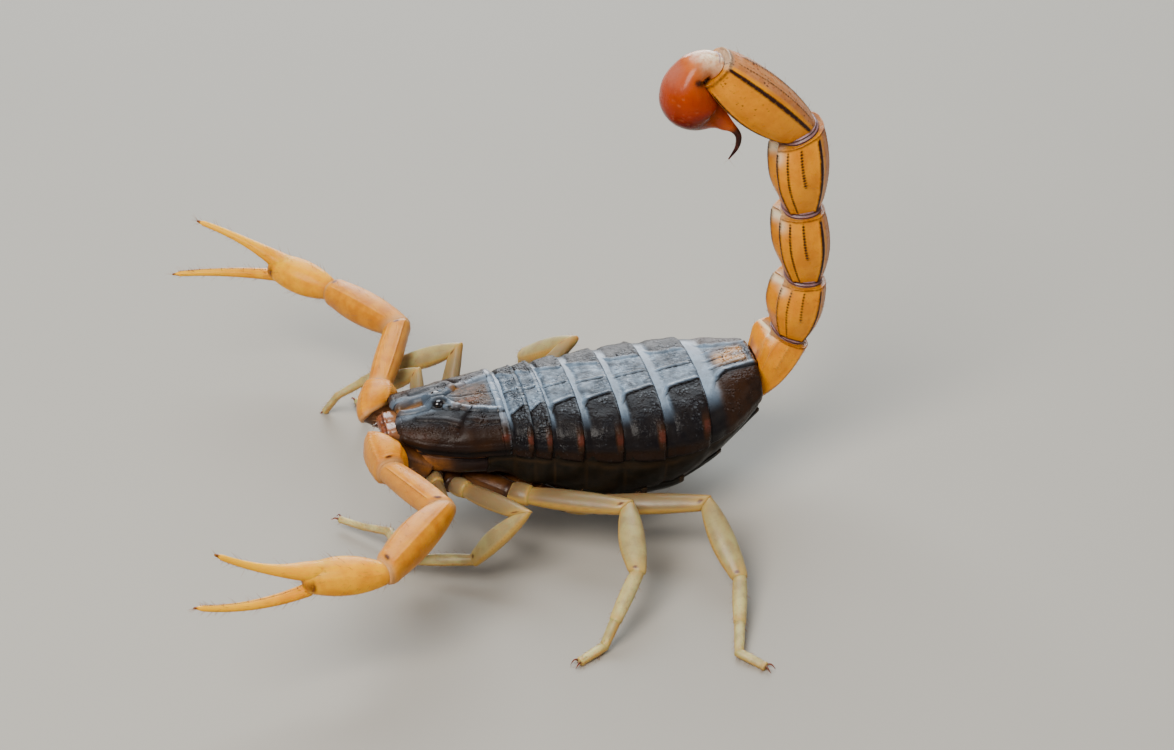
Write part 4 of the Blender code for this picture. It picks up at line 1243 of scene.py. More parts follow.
def finger_teeth(piece, path, over, sign):
    """Rows of small teeth along the gripping edge, each row led by a larger one."""
    t = np.linspace(0.1, 0.95, FINGER_TEETH)
    centre, _ = curve_at(path, t)
    for k in range(FINGER_TEETH):
        lift = Vector(over) * sign
        radius = blend(*FINGER_RADII, t[k])
        start = Vector(centre[k]) + lift * radius * 0.86
        large = k % TEETH_IN_ROW == 0
        tip = start + lift * (0.15 if large else 0.1)
        spike(piece, start, tip, 0.055 if large else 0.04, 5, keel=0.95, soft=1.0)


def make_hand(side, path, first_cut, material):
    wrist, knuckle = path
    palm = (knuckle - wrist).normalized()
    over = (UP - palm * UP.dot(palm)).normalized()
    piece = Piece()
    limb(piece, wrist, knuckle, MANUS_RADII, UP, first_cut, None, 84, 84, 2.1, (0.06, 0.12),
         (0.3, 0.55), hand_relief)
    azimuth, elevation, curl = PALP_POSE[side]["fixed"]
    way = (azimuth, elevation, FIXED_FINGER_LENGTH)
    fixed = finger_path(knuckle + over * FIXED_SPREAD, way, curl, over)
    teeth = list(fixed)
    fixed.insert(0, wrist.lerp(knuckle, FIXED_RISE) + over * FIXED_SPREAD * 0.45)
    root = (fixed[1] - fixed[0]).length / (FIXED_FINGER_LENGTH + 2)

    def thickness(t):
        slim = blend(FINGER_RADII[0], FINGER_RADII[1] * 0.8, t)
        return slim + 0.5 * bump(t, 0.0, root * 1.7) - 0.1 * ease((t - 0.94) / 0.06)

    sweep(piece, fixed, thickness, over, 30, 110, flat=FINGER_FLATNESS, relief=finger_marks,
          domes=(0.2, 1.3))
    finger_teeth(piece, teeth, over, -1)
    for place in (0.15, 0.4, 0.62):
        spot = wrist.lerp(knuckle, place) + over * 0.2
        spike(piece, spot, spot + over * 0.2, 0.05)
    piece.finish(f"{side}_pedipalp_hand_cuticle", material, f"{side}_pedipalp_hand", palm)
    azimuth, elevation, curl = PALP_POSE[side]["finger"]
    way = (azimuth, elevation, FINGER_LENGTH)
    moving = finger_path(knuckle - over * HINGE_SPREAD, way, curl, over)
    piece = Piece()

    def slim(t):
        return blend(FINGER_RADII[0] * 1.08, FINGER_RADII[1] * 0.8, t) - 0.12 * ease((t - 0.92) / 0.08)

    sweep(piece, moving, slim, over, 30, 120, flat=FINGER_FLATNESS, relief=finger_marks,
          domes=(0.5, 1.3))
    finger_teeth(piece, moving, over, 1)
    piece.finish(f"{side}_pedipalp_finger_cuticle", material, f"{side}_pedipalp_finger",
                 palm)


def make_palp(side, material, hand_finish):
    path = palp_path(side)
    root = mirrored(PALP_COXA_ROOT, side)
    axes = headings([root, *path])
    for k, name in enumerate(PALP_RADII):
        piece = Piece()
        limb(piece, path[k], path[k + 1], PALP_RADII[name], UP, halving(axes[k], axes[k + 1]),
             halving(axes[k + 1], axes[k + 2]), 84, 90, 2.3, (0.05, 0.06), (0.3, 0.2),
             palp_relief(name, 80 + k))
        piece.finish(f"{side}_pedipalp_{name}_cuticle", material, f"{side}_pedipalp_{name}",
                     axes[k + 1])
    make_hand(side, path[-2:], halving(axes[-2], axes[-1]), hand_finish)


# ---- Legs ----

def leg_path(side, pair):
    """Joints of a leg; its last two pieces drop to the height of the ankle and of the toe."""
    heights = STEPPING.get((side, pair), (ANKLE_HEIGHT, TOE_HEIGHT))
    path = [mirrored(LEG_ROOTS[pair], side)]
    for way, length in zip(LEG_POSE[side, pair][:4], LEG_LENGTHS[pair]):
        path.append(path[-1] + heading(*way) * length)
    for azimuth, length, height in zip(LEG_POSE[side, pair][4:], LEG_LENGTHS[pair][4:], heights):
        drop = math.degrees(math.asin((height - path[-1].z) / length))
        path.append(path[-1] + heading(azimuth, drop) * length)
    return path


# How pale each piece of a leg is, from the brown upper ones to the feet; the dark upper pieces
# are partly the legs' own colour and partly painted shade from the trunk above them.
LEG_SHADE = {"trochanter": 0.1, "femur": 0.15, "patella": 0.55, "tibia": 0.85, "basitarsus": 0.95,
             "tarsus": 1.0}


def leg_relief(kind, seed):
    """A leg piece: pale with a yellow lower edge, fine dark grains and dark ends."""
    beaded = kind in ("femur", "patella", "tibia")

    def relief(turn, t, way):
        below = np.maximum(bump(turn, 300, 10), bump(turn, 240, 10)) * ease(t * 6) * ease((1 - t) * 6)
        above = bump(turn, 90, 9) * ease(t * 6) * ease((1 - t) * 6)
        knobs = np.abs(np.cos(np.pi * way / 0.2))
        place = wrapped(turn, way)
        fine = granules(place, 0.16, seed, 0.5)
        lift = 0.01 * fine + 0.035 * below * knobs * beaded + 0.025 * above * beaded
        lift += 0.03 * bump(t, 0.96, 0.05)
        knee = both_sides(turn, 18) * bump(t, 0.955, 0.022) * (kind in ("femur", "patella"))
        dark = np.maximum(0.4 * below * knobs * beaded, 0.95 * knee)
        low = 0.8 * ease((np.sin(np.radians(turn)) * -1 - 0.6) * 3)
        low = np.maximum.reduce((low, 0.55 * bump(t, 1.0, 0.14), 0.4 * bump(t, 0.0, 0.1)))
        return lift, {"keel": dark, "soft": low, "grain": fine * 0.4,
                      "sheen": LEG_SHADE[kind] + 0.2 * (t - 0.5)}

    return relief


def leg_claws(piece, path, scale):
    """Two curved claws at the toe, spurs at the ankle, and two rows of small spines under the foot."""
    toe = path[-1]
    way = (path[-1] - path[-2]).normalized()
    side = way.cross(UP).normalized()
    for sign in (-1, 1):
        start = toe - way * 0.1 + side * 0.1 * sign + UP * 0.06
        points = (start, start + way * 0.4 + side * 0.16 * sign + UP * 0.16,
                  start + way * 0.72 + side * 0.2 * sign - UP * 0.1)
        sweep(piece, points, lambda t: 0.085 * (1 - t) + 0.018, UP, 8, 14,
              relief=lambda turn, t, centre: (0, {"keel": 0.55 + 0.4 * t}))
        spur = path[-2] + side * 0.14 * sign * scale - UP * 0.05
        spike(piece, spur, spur + way * 0.42 - UP * 0.1 + side * 0.12 * sign, 0.055, 6, keel=0.8)
    for k in range(7):
        for sign in (-1, 1):
            place = path[-2].lerp(toe, 0.2 + 0.11 * k) + side * 0.09 * sign - UP * 0.24 * scale
            spike(piece, place, place + way * 0.1 - UP * 0.09, 0.028, 4, keel=0.7)


def make_leg(side, pair, material):
    path = leg_path(side, pair)
    scale = LEG_SCALE[pair]
    root = mirrored(COXA_ROOTS[pair], side)
    axes = headings([root, *path])
    bend = axes[2].cross(axes[3]).normalized()
    cuts = [halving(a, b) for a, b in zip(axes, axes[1:])] + [None]
    groups = (("femur", (0, 1)), ("patella", (2,)), ("tibia", (3, 4, 5)))
    for group, members in groups:
        piece = Piece()
        for k in members:
            kind = LEG_PIECES[k]
            radii = [r * scale for r in LEG_RADII[kind][:3]] + [LEG_RADII[kind][3]]
            limb(piece, path[k], path[k + 1], radii, bend, cuts[k], cuts[k + 1], 36, 54, 2.2,
                 (0.07, 0.08), (0.35, 0.25), leg_relief(kind, 90 + k))
        if group == "tibia":
            leg_claws(piece, path, scale)
        for vert in piece.bm.verts:
            vert.co.z = max(vert.co.z, 0.0)
        name = f"{side}_leg_{pair}_{group}"
        piece.finish(name + "_cuticle", material, name, axes[members[0] + 1])


# ---- Bristles ----

# Where bristles grow: part of the piece's name, how many and their length.
BRISTLE_BEDS = (
    ("metasoma_1", 40, 0.32), ("metasoma_2", 46, 0.32), ("metasoma_3", 52, 0.34),
    ("metasoma_4", 56, 0.36), ("metasoma_5", 90, 0.4), ("telson_cuticle", 70, 0.6),
    ("pedipalp_femur", 60, 0.4), ("pedipalp_patella", 70, 0.4), ("pedipalp_hand", 130, 0.5),
    ("pedipalp_finger", 110, 0.42), ("_patella_cuticle", 26, 0.34), ("_tibia_cuticle", 150, 0.3),
    ("_femur_cuticle", 24, 0.3), ("chelicera", 60, 0.35), ("sternite", 24, 0.25),
)
BRISTLE_RADIUS = 0.013
BRISTLE_LEAN = 0.8
BRISTLE_PATCH = 0.003           # size of a bristle's patch on its map, set by its root
MAP_CELLS = 8                   # cells across the map, one for each piece that carries bristles


def bristle_count(name):
    for part, count, length in BRISTLE_BEDS:
        if part in name:
            return count, length
    return 0, 0.0


def grow_bristles(bm, uv, source, count, length, rank):
    """Thin curved cones on a finished piece, leaning the way that its bristles lie."""
    random = np.random.default_rng(rank)
    mesh = source.data
    runs = np.zeros(len(mesh.vertices))
    turns = np.zeros(len(mesh.vertices))
    mesh.attributes["run"].data.foreach_get("value", runs)
    mesh.attributes["turn"].data.foreach_get("value", turns)
    column = rank % MAP_CELLS
    row = rank // MAP_CELLS % MAP_CELLS
    for index in random.choice(len(mesh.vertices), count, replace=False):
        vertex = mesh.vertices[int(index)]
        size = length * MM * random.uniform(0.6, 1.25)
        lean = Vector(source["lean"]) * BRISTLE_LEAN * random.uniform(0.5, 1.2)
        way = (vertex.normal + lean).normalized()
        tip = (vertex.normal * 0.4 + lean * 1.6).normalized()
        made = bmesh.ops.create_cone(bm, cap_ends=False, segments=4, radius1=BRISTLE_RADIUS * MM,
                                     radius2=BRISTLE_RADIUS * MM * 0.25, depth=size)
        turn = way.to_track_quat("Z", "Y").to_matrix().to_4x4()
        place = Matrix.Translation(vertex.co + way * size * 0.45) @ turn
        bmesh.ops.transform(bm, matrix=place, verts=made["verts"])
        faces = {face for vert in made["verts"] for face in vert.link_faces}
        upper = [vert for vert in made["verts"] if (vert.co - vertex.co).dot(way) > size * 0.5]
        for vert in upper:
            vert.co += tip * size * 0.35
        for vert in made["verts"]:
            vert.co.z = max(vert.co.z, 0.0)
        u = (turns[index] / 360 * 0.9 + 0.05 + column) / MAP_CELLS
        v = (runs[index] * 0.9 + 0.05 + row) / MAP_CELLS
        for face in faces:
            for loop in face.loops:
                across = (loop.vert.co - vertex.co).length / size
                loop[uv].uv = (u + BRISTLE_PATCH * 0.3 * across, v + BRISTLE_PATCH * across)


def make_bristles(material, name, parts):
    bm = bmesh.new()
    uv = bm.loops.layers.uv.new("OFBake")
    hosts = sorted(thing.name for thing in bpy.data.objects if "lean" in thing)
    for rank, host in enumerate(hosts):
        count, length = bristle_count(host)
        if count and any(part in host for part in parts):
            grow_bristles(bm, uv, bpy.data.objects[host], count, length, rank)
    holes = [edge for edge in bm.edges if edge.is_boundary]
    bmesh.ops.holes_fill(bm, edges=holes, sides=4)
    bmesh.ops.recalc_face_normals(bm, faces=bm.faces)
    piece = new_object(name, bm, material)
    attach(piece, "root")


# ---- Materials ----

def node_group(name, inputs, outputs, build):
    """Makes a shader node group once; inputs and outputs are (name, kind, default)."""
    if name in bpy.data.node_groups:
        return bpy.data.node_groups[name]
    group = bpy.data.node_groups.new(name, "ShaderNodeTree")
    for direction, sockets in (("INPUT", inputs), ("OUTPUT", outputs)):
        for label, kind, default in sockets:
            socket = group.interface.new_socket(label, in_out=direction, socket_type="NodeSocket" + kind)
            if default is not None:
                socket.default_value = default
    start = group.nodes.new("NodeGroupInput")
    end = group.nodes.new("NodeGroupOutput")
    build(Wiring(group), start.outputs, end.inputs)
    return group


class Wiring:
    """Adds nodes to a tree; a value given to a node is either a number or another node's output."""

    def __init__(self, tree):
        self.tree = tree

    def join(self, socket, value):
        if isinstance(value, bpy.types.NodeSocket):
            self.tree.links.new(value, socket)
        elif hasattr(value, "__len__") and len(value) == 3 and socket.type == "RGBA":
            socket.default_value = (*value, 1)
        else:
            socket.default_value = value

    def place(self):
        """Place on the piece, in millimetres."""
        node = self.tree.nodes.new("ShaderNodeTexCoord")
        scale = self.tree.nodes.new("ShaderNodeVectorMath")
        scale.operation = "SCALE"
        self.join(scale.inputs[0], node.outputs["Object"])
        scale.inputs["Scale"].default_value = 1 / MM
        return scale.outputs["Vector"]

    def mark(self, name):
        node = self.tree.nodes.new("ShaderNodeAttribute")
        node.attribute_name = name
        return node.outputs["Fac"]

    def mix(self, factor, first, second, kind="MIX"):
        node = self.tree.nodes.new("ShaderNodeMix")
        node.data_type = "RGBA"
        node.blend_type = kind
        self.join(node.inputs["Factor"], factor)
        self.join(node.inputs["A"], first)
        self.join(node.inputs["B"], second)
        return node.outputs["Result"]

    def sum(self, operation, first, second=0.0):
        node = self.tree.nodes.new("ShaderNodeMath")
        node.operation = operation
        self.join(node.inputs[0], first)
        self.join(node.inputs[1], second)
        return node.outputs[0]

    def between(self, value, low, high, first=0.0, last=1.0):
        """Maps low..high smoothly to first..last."""
        node = self.tree.nodes.new("ShaderNodeMapRange")
        node.interpolation_type = "SMOOTHSTEP"
        self.join(node.inputs["Value"], value)
        for label, bound in (("From Min", low), ("From Max", high), ("To Min", first), ("To Max", last)):
            self.join(node.inputs[label], bound)
        return node.outputs["Result"]

    def noise(self, place, scale, detail=3.0, roughness=0.55):
        node = self.tree.nodes.new("ShaderNodeTexNoise")
        self.join(node.inputs["Vector"], place)
        self.join(node.inputs["Scale"], scale)
        self.join(node.inputs["Detail"], detail)
        self.join(node.inputs["Roughness"], roughness)
        return node.outputs["Fac"]

    def pebbles(self, place, scale):
        node = self.tree.nodes.new("ShaderNodeTexVoronoi")
        node.feature = "SMOOTH_F1"
        self.join(node.inputs["Vector"], place)
        self.join(node.inputs["Scale"], scale)
        self.join(node.inputs["Smoothness"], 0.35)
        return node.outputs["Distance"]

    def ramp(self, value, stops):
        """Colours along a value from 0 to 1."""
        node = self.tree.nodes.new("ShaderNodeValToRGB")
        self.join(node.inputs["Fac"], value)
        bar = node.color_ramp
        while len(bar.elements) < len(stops):
            bar.elements.new(0.5)
        for element, (position, colour) in zip(bar.elements, stops):
            element.position = position
            element.color = (*colour, 1)
        return node.outputs["Color"]

    def group(self, tree, **values):
        node = self.tree.nodes.new("ShaderNodeGroup")
        node.node_tree = tree
        for label, value in values.items():
            self.join(node.inputs[label.replace("_", " ")], value)
        return node.outputs


def mottle_group():
    """Uneven colour: soft clouds and small freckles of a second colour."""
    def build(wiring, given, out):
        clouds = wiring.between(wiring.noise(given["Place"], given["Scale"]), 0.35, 0.68)
        fine = wiring.sum("MULTIPLY", given["Scale"], 5.0)
        freckles = wiring.between(wiring.noise(given["Place"], fine, 2.0), 0.58, 0.72)
        amount = wiring.sum("MULTIPLY", clouds, given["Clouds"])
        colour = wiring.mix(amount, given["Color"], given["Second Color"])
        amount = wiring.sum("MULTIPLY", freckles, given["Freckles"])
        wiring.join(out["Color"], wiring.mix(amount, colour, given["Second Color"]))

    return node_group("Mottle", (
        ("Color", "Color", (0.5, 0.5, 0.5, 1)), ("Second Color", "Color", (0.1, 0.1, 0.1, 1)),
        ("Place", "Vector", None), ("Scale", "Float", 1.0), ("Clouds", "Float", 0.5),
        ("Freckles", "Float", 0.3)), (("Color", "Color", None),), build)


def grain_group():
    """Height of fine shagreened shell: round pebbles and a finer skin texture."""
    def build(wiring, given, out):
        pebbles = wiring.pebbles(given["Place"], given["Scale"])
        round_tops = wiring.between(pebbles, 0.1, 0.55, 1.0, 0.0)
        fine = wiring.sum("MULTIPLY", given["Scale"], 3.1)
        skin = wiring.noise(given["Place"], fine, 2.0)
        tops = wiring.sum("MULTIPLY", round_tops, given["Pebbles"])
        texture = wiring.sum("MULTIPLY", skin, given["Skin"])
        wiring.join(out["Height"], wiring.sum("ADD", tops, texture))
        wiring.join(out["Tops"], round_tops)

    return node_group("Shagreen", (
        ("Place", "Vector", None), ("Scale", "Float", 6.0), ("Pebbles", "Float", 0.6),
        ("Skin", "Float", 0.4)), (("Height", "Float", None), ("Tops", "Float", None)), build)


def line_group():
    """Dark keel lines, broken up a little (pigment, and on the back plates and front shield also
    painted shade beside the ridges and under the plate edges), and painted glints: the tops of
    grains made paler.
    """
    def build(wiring, given, out):
        broken = wiring.between(wiring.noise(given["Place"], 5.0, 2.0), 0.25, 0.6, 0.7, 1.0)
        dark = wiring.between(wiring.sum("MULTIPLY", given["Keel"], broken), 0.1, 0.75)
        # Painted glint: the tops of the grains made paler.
        tops = wiring.sum("MULTIPLY", wiring.between(given["Grain"], 0.35, 1.0), given["Paleness"])
        colour = wiring.mix(tops, given["Color"], given["Grain Color"])
        wiring.join(out["Color"], wiring.mix(dark, colour, given["Line Color"]))

    return node_group("Keel lines", (
        ("Color", "Color", (0.5, 0.5, 0.5, 1)), ("Line Color", "Color", (0.03, 0.01, 0.005, 1)),
        ("Grain Color", "Color", (0.7, 0.7, 0.7, 1)), ("Place", "Vector", None),
        ("Keel", "Float", 0.0), ("Grain", "Float", 0.0), ("Paleness", "Float", 0.3)),
        (("Color", "Color", None),), build)


class Finish(Wiring):
    """A material in the making: its own shader, and the shared groups joined to it."""

    def __init__(self, name, **plain):
        material = bpy.data.materials.new(name)
        material.use_nodes = True
        super().__init__(material.node_tree)
        self.material = material
        self.shader = material.node_tree.nodes["Principled BSDF"]
        for label, value in plain.items():
            self.shader.inputs[label.replace("_", " ")].default_value = value
        self.where = self.place()

    def paint(self, colour, line, pale=(0.7, 0.7, 0.7), glint_amount=0.3):
        """Adds the keel lines and the painted glints on grain tops, and sets the colour."""
        final = self.group(line_group(), Color=colour, Line_Color=line, Grain_Color=pale,
                           Place=self.where, Keel=self.mark("keel"), Grain=self.mark("grain"),
                           Paleness=glint_amount)["Color"]
        self.colour(final)

    def mottled(self, colour, second, scale, clouds, freckles):
        return self.group(mottle_group(), Color=colour, Second_Color=second, Place=self.where,
                          Scale=scale, Clouds=clouds, Freckles=freckles)["Color"]

    def rough(self, scale, pebbles, skin, depth):
        """Fine relief, depth in millimetres."""
        height = self.group(grain_group(), Place=self.where, Scale=scale, Pebbles=pebbles,
                            Skin=skin)["Height"]
        bump_node = self.tree.nodes.new("ShaderNodeBump")
        bump_node.inputs["Strength"].default_value = 1.0
        bump_node.inputs["Distance"].default_value = depth * MM
        self.join(bump_node.inputs["Height"], height)
        self.join(self.shader.inputs["Normal"], bump_node.outputs["Normal"])

    def colour(self, value):
        self.join(self.shader.inputs["Base Color"], value)

    def gloss(self, scale, low, high):
        """Roughness that drifts between two values in soft clouds."""
        value = self.between(self.noise(self.where, scale), 0.3, 0.7, low, high)
        self.join(self.shader.inputs["Roughness"], value)


def shell_material(colours):
    look = Finish("Back plates", Specular_IOR_Level=0.09, Coat_Roughness=0.3)
    soft = look.mark("soft")
    sheen = look.mark("sheen")
    base = look.mottled(tuple(colours.shell), (0.012, 0.009, 0.008), 1.1, 0.55, 0.35)
    painted_sky_sheen = look.mottled(tuple(colours.shell_sheen), (0.05, 0.06, 0.075), 0.9, 0.5, 0.35)
    # Painted reflection: a pale blue sky sheen over the bands, keel tops and upper surfaces.
    base = look.mix(sheen, base, painted_sky_sheen)
    brown = look.mottled(tuple(colours.shell_brown), (0.03, 0.014, 0.01), 1.6, 0.6, 0.5)
    base = look.mix(look.between(soft, 0.0, 0.5), base, (0.024, 0.01, 0.0045))
    base = look.mix(look.between(soft, 0.5, 0.9), base, brown)
    gold = look.mottled((0.42, 0.18, 0.02), (0.24, 0.18, 0.11), 1.4, 0.6, 0.5)
    base = look.mix(look.sum("MULTIPLY", soft, sheen), base, gold)
    look.paint(base, (0.004, 0.003, 0.003), (0.26, 0.3, 0.34), 0.38)
    look.join(look.shader.inputs["Coat Weight"], look.between(sheen, 0.0, 1.0, 0.04, 0.55))
    look.rough(8.0, 0.4, 0.4, 0.016)
    look.gloss(1.3, 0.27, 0.4)
    return look.material


def belly_material(colours):
    look = Finish("Belly", Specular_IOR_Level=0.12)
    base = look.mottled(tuple(colours.belly), (0.003, 0.003, 0.002), 1.1, 0.6, 0.4)
    base = look.mix(look.mark("soft"), base, (0.05, 0.026, 0.01))
    look.paint(base, (0.006, 0.004, 0.003), (0.07, 0.06, 0.045), 0.25)
    look.rough(6.0, 0.3, 0.5, 0.012)
    look.gloss(1.5, 0.28, 0.42)
    return look.material


def hips_material(colours):
    look = Finish("Hips", Specular_IOR_Level=0.3)
    base = look.mix(look.mark("soft"), tuple(colours.hips), (0.34, 0.12, 0.022))
    base = look.mottled(base, (0.03, 0.01, 0.005), 1.3, 0.5, 0.3)
    look.paint(base, (0.012, 0.004, 0.003), (0.3, 0.17, 0.09), 0.2)
    look.rough(6.0, 0.4, 0.4, 0.015)
    look.gloss(2.0, 0.3, 0.44)
    return look.material


def jaw_material(colours):
    look = Finish("Jaws", Specular_IOR_Level=0.7, Coat_Weight=0.5, Coat_Roughness=0.12)
    base = look.mottled(tuple(colours.jaws), (0.09, 0.028, 0.016), 2.6, 0.7, 0.4)
    base = look.mix(look.mark("soft"), base, (0.5, 0.28, 0.12))
    look.paint(base, (0.02, 0.006, 0.004), (0.5, 0.4, 0.35), 0.3)
    look.rough(8.0, 0.2, 0.5, 0.012)
    look.gloss(3.0, 0.22, 0.36)
    return look.material


def eye_material():
    look = Finish("Eyes", Specular_IOR_Level=0.5, Coat_Weight=0.4, Coat_Roughness=0.05)
    base = look.mottled((0.003, 0.003, 0.004), (0.012, 0.008, 0.008), 3.0, 0.6, 0.3)
    look.colour(base)
    look.gloss(4.0, 0.09, 0.15)
    return look.material


def comb_material(colours):
    look = Finish("Combs", Specular_IOR_Level=0.5, Subsurface_Weight=0.15, Subsurface_Scale=0.0006)
    base = look.mix(look.mark("soft"), tuple(colours.combs), (0.66, 0.52, 0.34))
    base = look.mottled(base, (0.3, 0.17, 0.06), 2.0, 0.5, 0.3)
    look.paint(base, (0.12, 0.05, 0.02), (0.8, 0.7, 0.55), 0.3)
    look.rough(9.0, 0.3, 0.4, 0.01)
    look.gloss(3.0, 0.34, 0.46)
    return look.material


def tail_material(colours):
    look = Finish("Tail", Specular_IOR_Level=0.18, Subsurface_Weight=0.12, Subsurface_Scale=0.0008)
    base = look.mottled(tuple(colours.tail), tuple(colours.tail_shade), 0.8, 0.55, 0.3)
    pinkish = look.mottled((0.46, 0.2, 0.1), (0.3, 0.08, 0.02), 1.5, 0.6, 0.6)
    base = look.mix(look.mark("soft"), base, pinkish)
    # Painted highlight: cream glints where the sheen mark is high.
    base = look.mix(look.mark("sheen"), base, (0.9, 0.78, 0.55))
    look.paint(base, tuple(colours.keel_line), (0.75, 0.42, 0.12), 0.15)
    look.rough(6.5, 0.4, 0.4, 0.014)
    look.gloss(1.8, 0.26, 0.4)
    return look.material


def membrane_material():
    look = Finish("Joint skin", Specular_IOR_Level=0.5, Subsurface_Weight=0.15, Subsurface_Scale=0.0005)
    # Paler fold crests and darker creases: painted highlight and shade following the folds.
    base = look.mix(look.mark("soft"), (0.07, 0.022, 0.02), (0.3, 0.17, 0.19))
    base = look.mottled(base, (0.1, 0.04, 0.035), 2.5, 0.5, 0.3)
    look.colour(base)
    look.rough(9.0, 0.2, 0.6, 0.015)
    look.gloss(3.0, 0.3, 0.45)
    return look.material


def sting_material(colours):
    look = Finish("Sting", Specular_IOR_Level=0.16, Subsurface_Weight=0.1, Subsurface_Scale=0.0008,
                  Coat_Weight=0.06, Coat_Roughness=0.15)
    bulb = tuple(colours.sting)
    tint = look.ramp(look.mark("run"), (
        (0.0, (0.55, 0.24, 0.1)), (0.15, (0.5, 0.13, 0.03)), (0.2, (0.42, 0.07, 0.006)),
        (0.3, (0.4, 0.045, 0.001)),
        (0.42, bulb), (0.55, (0.1, 0.004, 0.0003)), (0.66, (0.46, 0.06, 0.002)),
        (0.73, (0.7, 0.13, 0.006)), (0.78, (0.05, 0.012, 0.005)), (0.83, (0.005, 0.004, 0.004))))
    base = look.mottled(tint, (0.16, 0.012, 0.001), 0.7, 0.35, 0.12)
    base = look.mix(look.mark("soft"), base, (0.4, 0.14, 0.1))
    # Pale neck patch: partly the neck's own paler colour, partly a painted glint.
    pale = look.mottled((0.9, 0.74, 0.5), (0.5, 0.2, 0.07), 2.2, 0.85, 0.5)
    base = look.mix(look.mark("sheen"), base, pale)
    look.paint(base, (0.05, 0.01, 0.004), (0.75, 0.3, 0.12), 0.15)
    look.rough(4.0, 0.2, 0.4, 0.01)
    look.gloss(1.5, 0.2, 0.3)
    return look.material


def arm_material(colours):
    look = Finish("Pincer arms", Specular_IOR_Level=0.14, Subsurface_Weight=0.15, Subsurface_Scale=0.0008)
    base = look.mottled(tuple(colours.arms), (0.46, 0.14, 0.004), 0.9, 0.75, 0.35)
    base = look.mix(look.mark("soft"), base, (0.5, 0.25, 0.09))
    look.paint(base, (0.09, 0.025, 0.006), (0.8, 0.5, 0.2), 0.15)
    look.rough(7.0, 0.35, 0.4, 0.012)
    look.gloss(2.0, 0.28, 0.4)
    return look.material


def hand_material(colours):
    look = Finish("Pincer hands", Specular_IOR_Level=0.12, Subsurface_Weight=0.18,
                  Subsurface_Scale=0.0008)
    base = look.mottled(tuple(colours.hands), (0.66, 0.22, 0.0), 0.8, 0.7, 0.3)
    base = look.mix(look.mark("sheen"), base, (0.84, 0.41, 0.004))
    base = look.mix(look.mark("soft"), base, (0.55, 0.2, 0.03))
    look.paint(base, (0.14, 0.04, 0.01), (0.9, 0.6, 0.2), 0.15)
    look.rough(8.0, 0.2, 0.4, 0.01)
    look.gloss(2.0, 0.25, 0.38)
    return look.material


def leg_material(colours):
    look = Finish("Legs", Specular_IOR_Level=0.3, Subsurface_Weight=0.35, Subsurface_Scale=0.001)
    base = look.mix(look.mark("sheen"), tuple(colours.legs), tuple(colours.feet))
    base = look.mottled(base, (0.2, 0.12, 0.06), 1.0, 0.5, 0.3)
    base = look.mix(look.mark("soft"), base, (0.5, 0.29, 0.05))
    look.paint(base, (0.1, 0.03, 0.01), (0.6, 0.52, 0.34), 0.2)
    look.rough(8.0, 0.25, 0.4, 0.01)
    look.gloss(2.2, 0.28, 0.42)
    return look.material


def bristle_material():
    look = Finish("Bristles", Specular_IOR_Level=0.4)
    base = look.mottled((0.3, 0.14, 0.05), (0.12, 0.05, 0.02), 2.0, 0.6, 0.3)
    look.colour(base)
    look.gloss(3.0, 0.35, 0.5)
    return look.material


def floor_material(colour):
    look = Finish("Floor", Specular_IOR_Level=0.2)
    base = look.mix(look.noise(look.where, 0.05), colour, [part * 0.96 for part in colour])
    look.colour(base)
    look.shader.inputs["Roughness"].default_value = 0.85
    return look.material


# ---- Settings ----

def colour_setting(name, description, default):
    return bpy.props.FloatVectorProperty(name=name, description=description, subtype="COLOR",
                                         size=3, min=0, max=1, default=default)


class ScorpionColours(bpy.types.PropertyGroup):
    """Colours of the animal's main surfaces."""

    shell: colour_setting("Shell", "Back plates and front shield", (0.006, 0.005, 0.006))
    # The colour of the painted sky reflection on the shell.
    shell_sheen: colour_setting("Shell sheen", "Smooth bands and keel tops", (0.17, 0.24, 0.325))
    shell_brown: colour_setting("Shell corners", "Brown parts of the plates", (0.085, 0.02, 0.011))
    belly: colour_setting("Belly", "Belly plates and flanks", (0.006, 0.005, 0.0035))
    hips: colour_setting("Hips", "Underside of the front body", (0.026, 0.01, 0.004))
    jaws: colour_setting("Jaws", "Hands of the jaws", (0.22, 0.055, 0.014))
    combs: colour_setting("Combs", "Plates of the combs", (0.5, 0.33, 0.14))
    tail: colour_setting("Tail", "Tail segments", (0.78, 0.285, 0.001))
    tail_shade: colour_setting("Tail shade", "Darker clouds on the tail", (0.56, 0.15, 0.001))
    keel_line: colour_setting("Keel lines", "Dark lines on tail and arms", (0.025, 0.006, 0.003))
    sting: colour_setting("Sting", "Venom bulb", (0.27, 0.018, 0.0003))
    arms: colour_setting("Arms", "Arms of the pincers", (0.62, 0.235, 0.005))
    hands: colour_setting("Hands", "Hands and fingers of the pincers", (0.86, 0.38, 0.0))
    # Dark upper leg colour: partly the legs' own, partly painted shade from the trunk above.
    legs: colour_setting("Legs", "Upper parts of the legs", (0.13, 0.075, 0.035))
    feet: colour_setting("Feet", "Lower parts of the legs", (0.54, 0.47, 0.19))


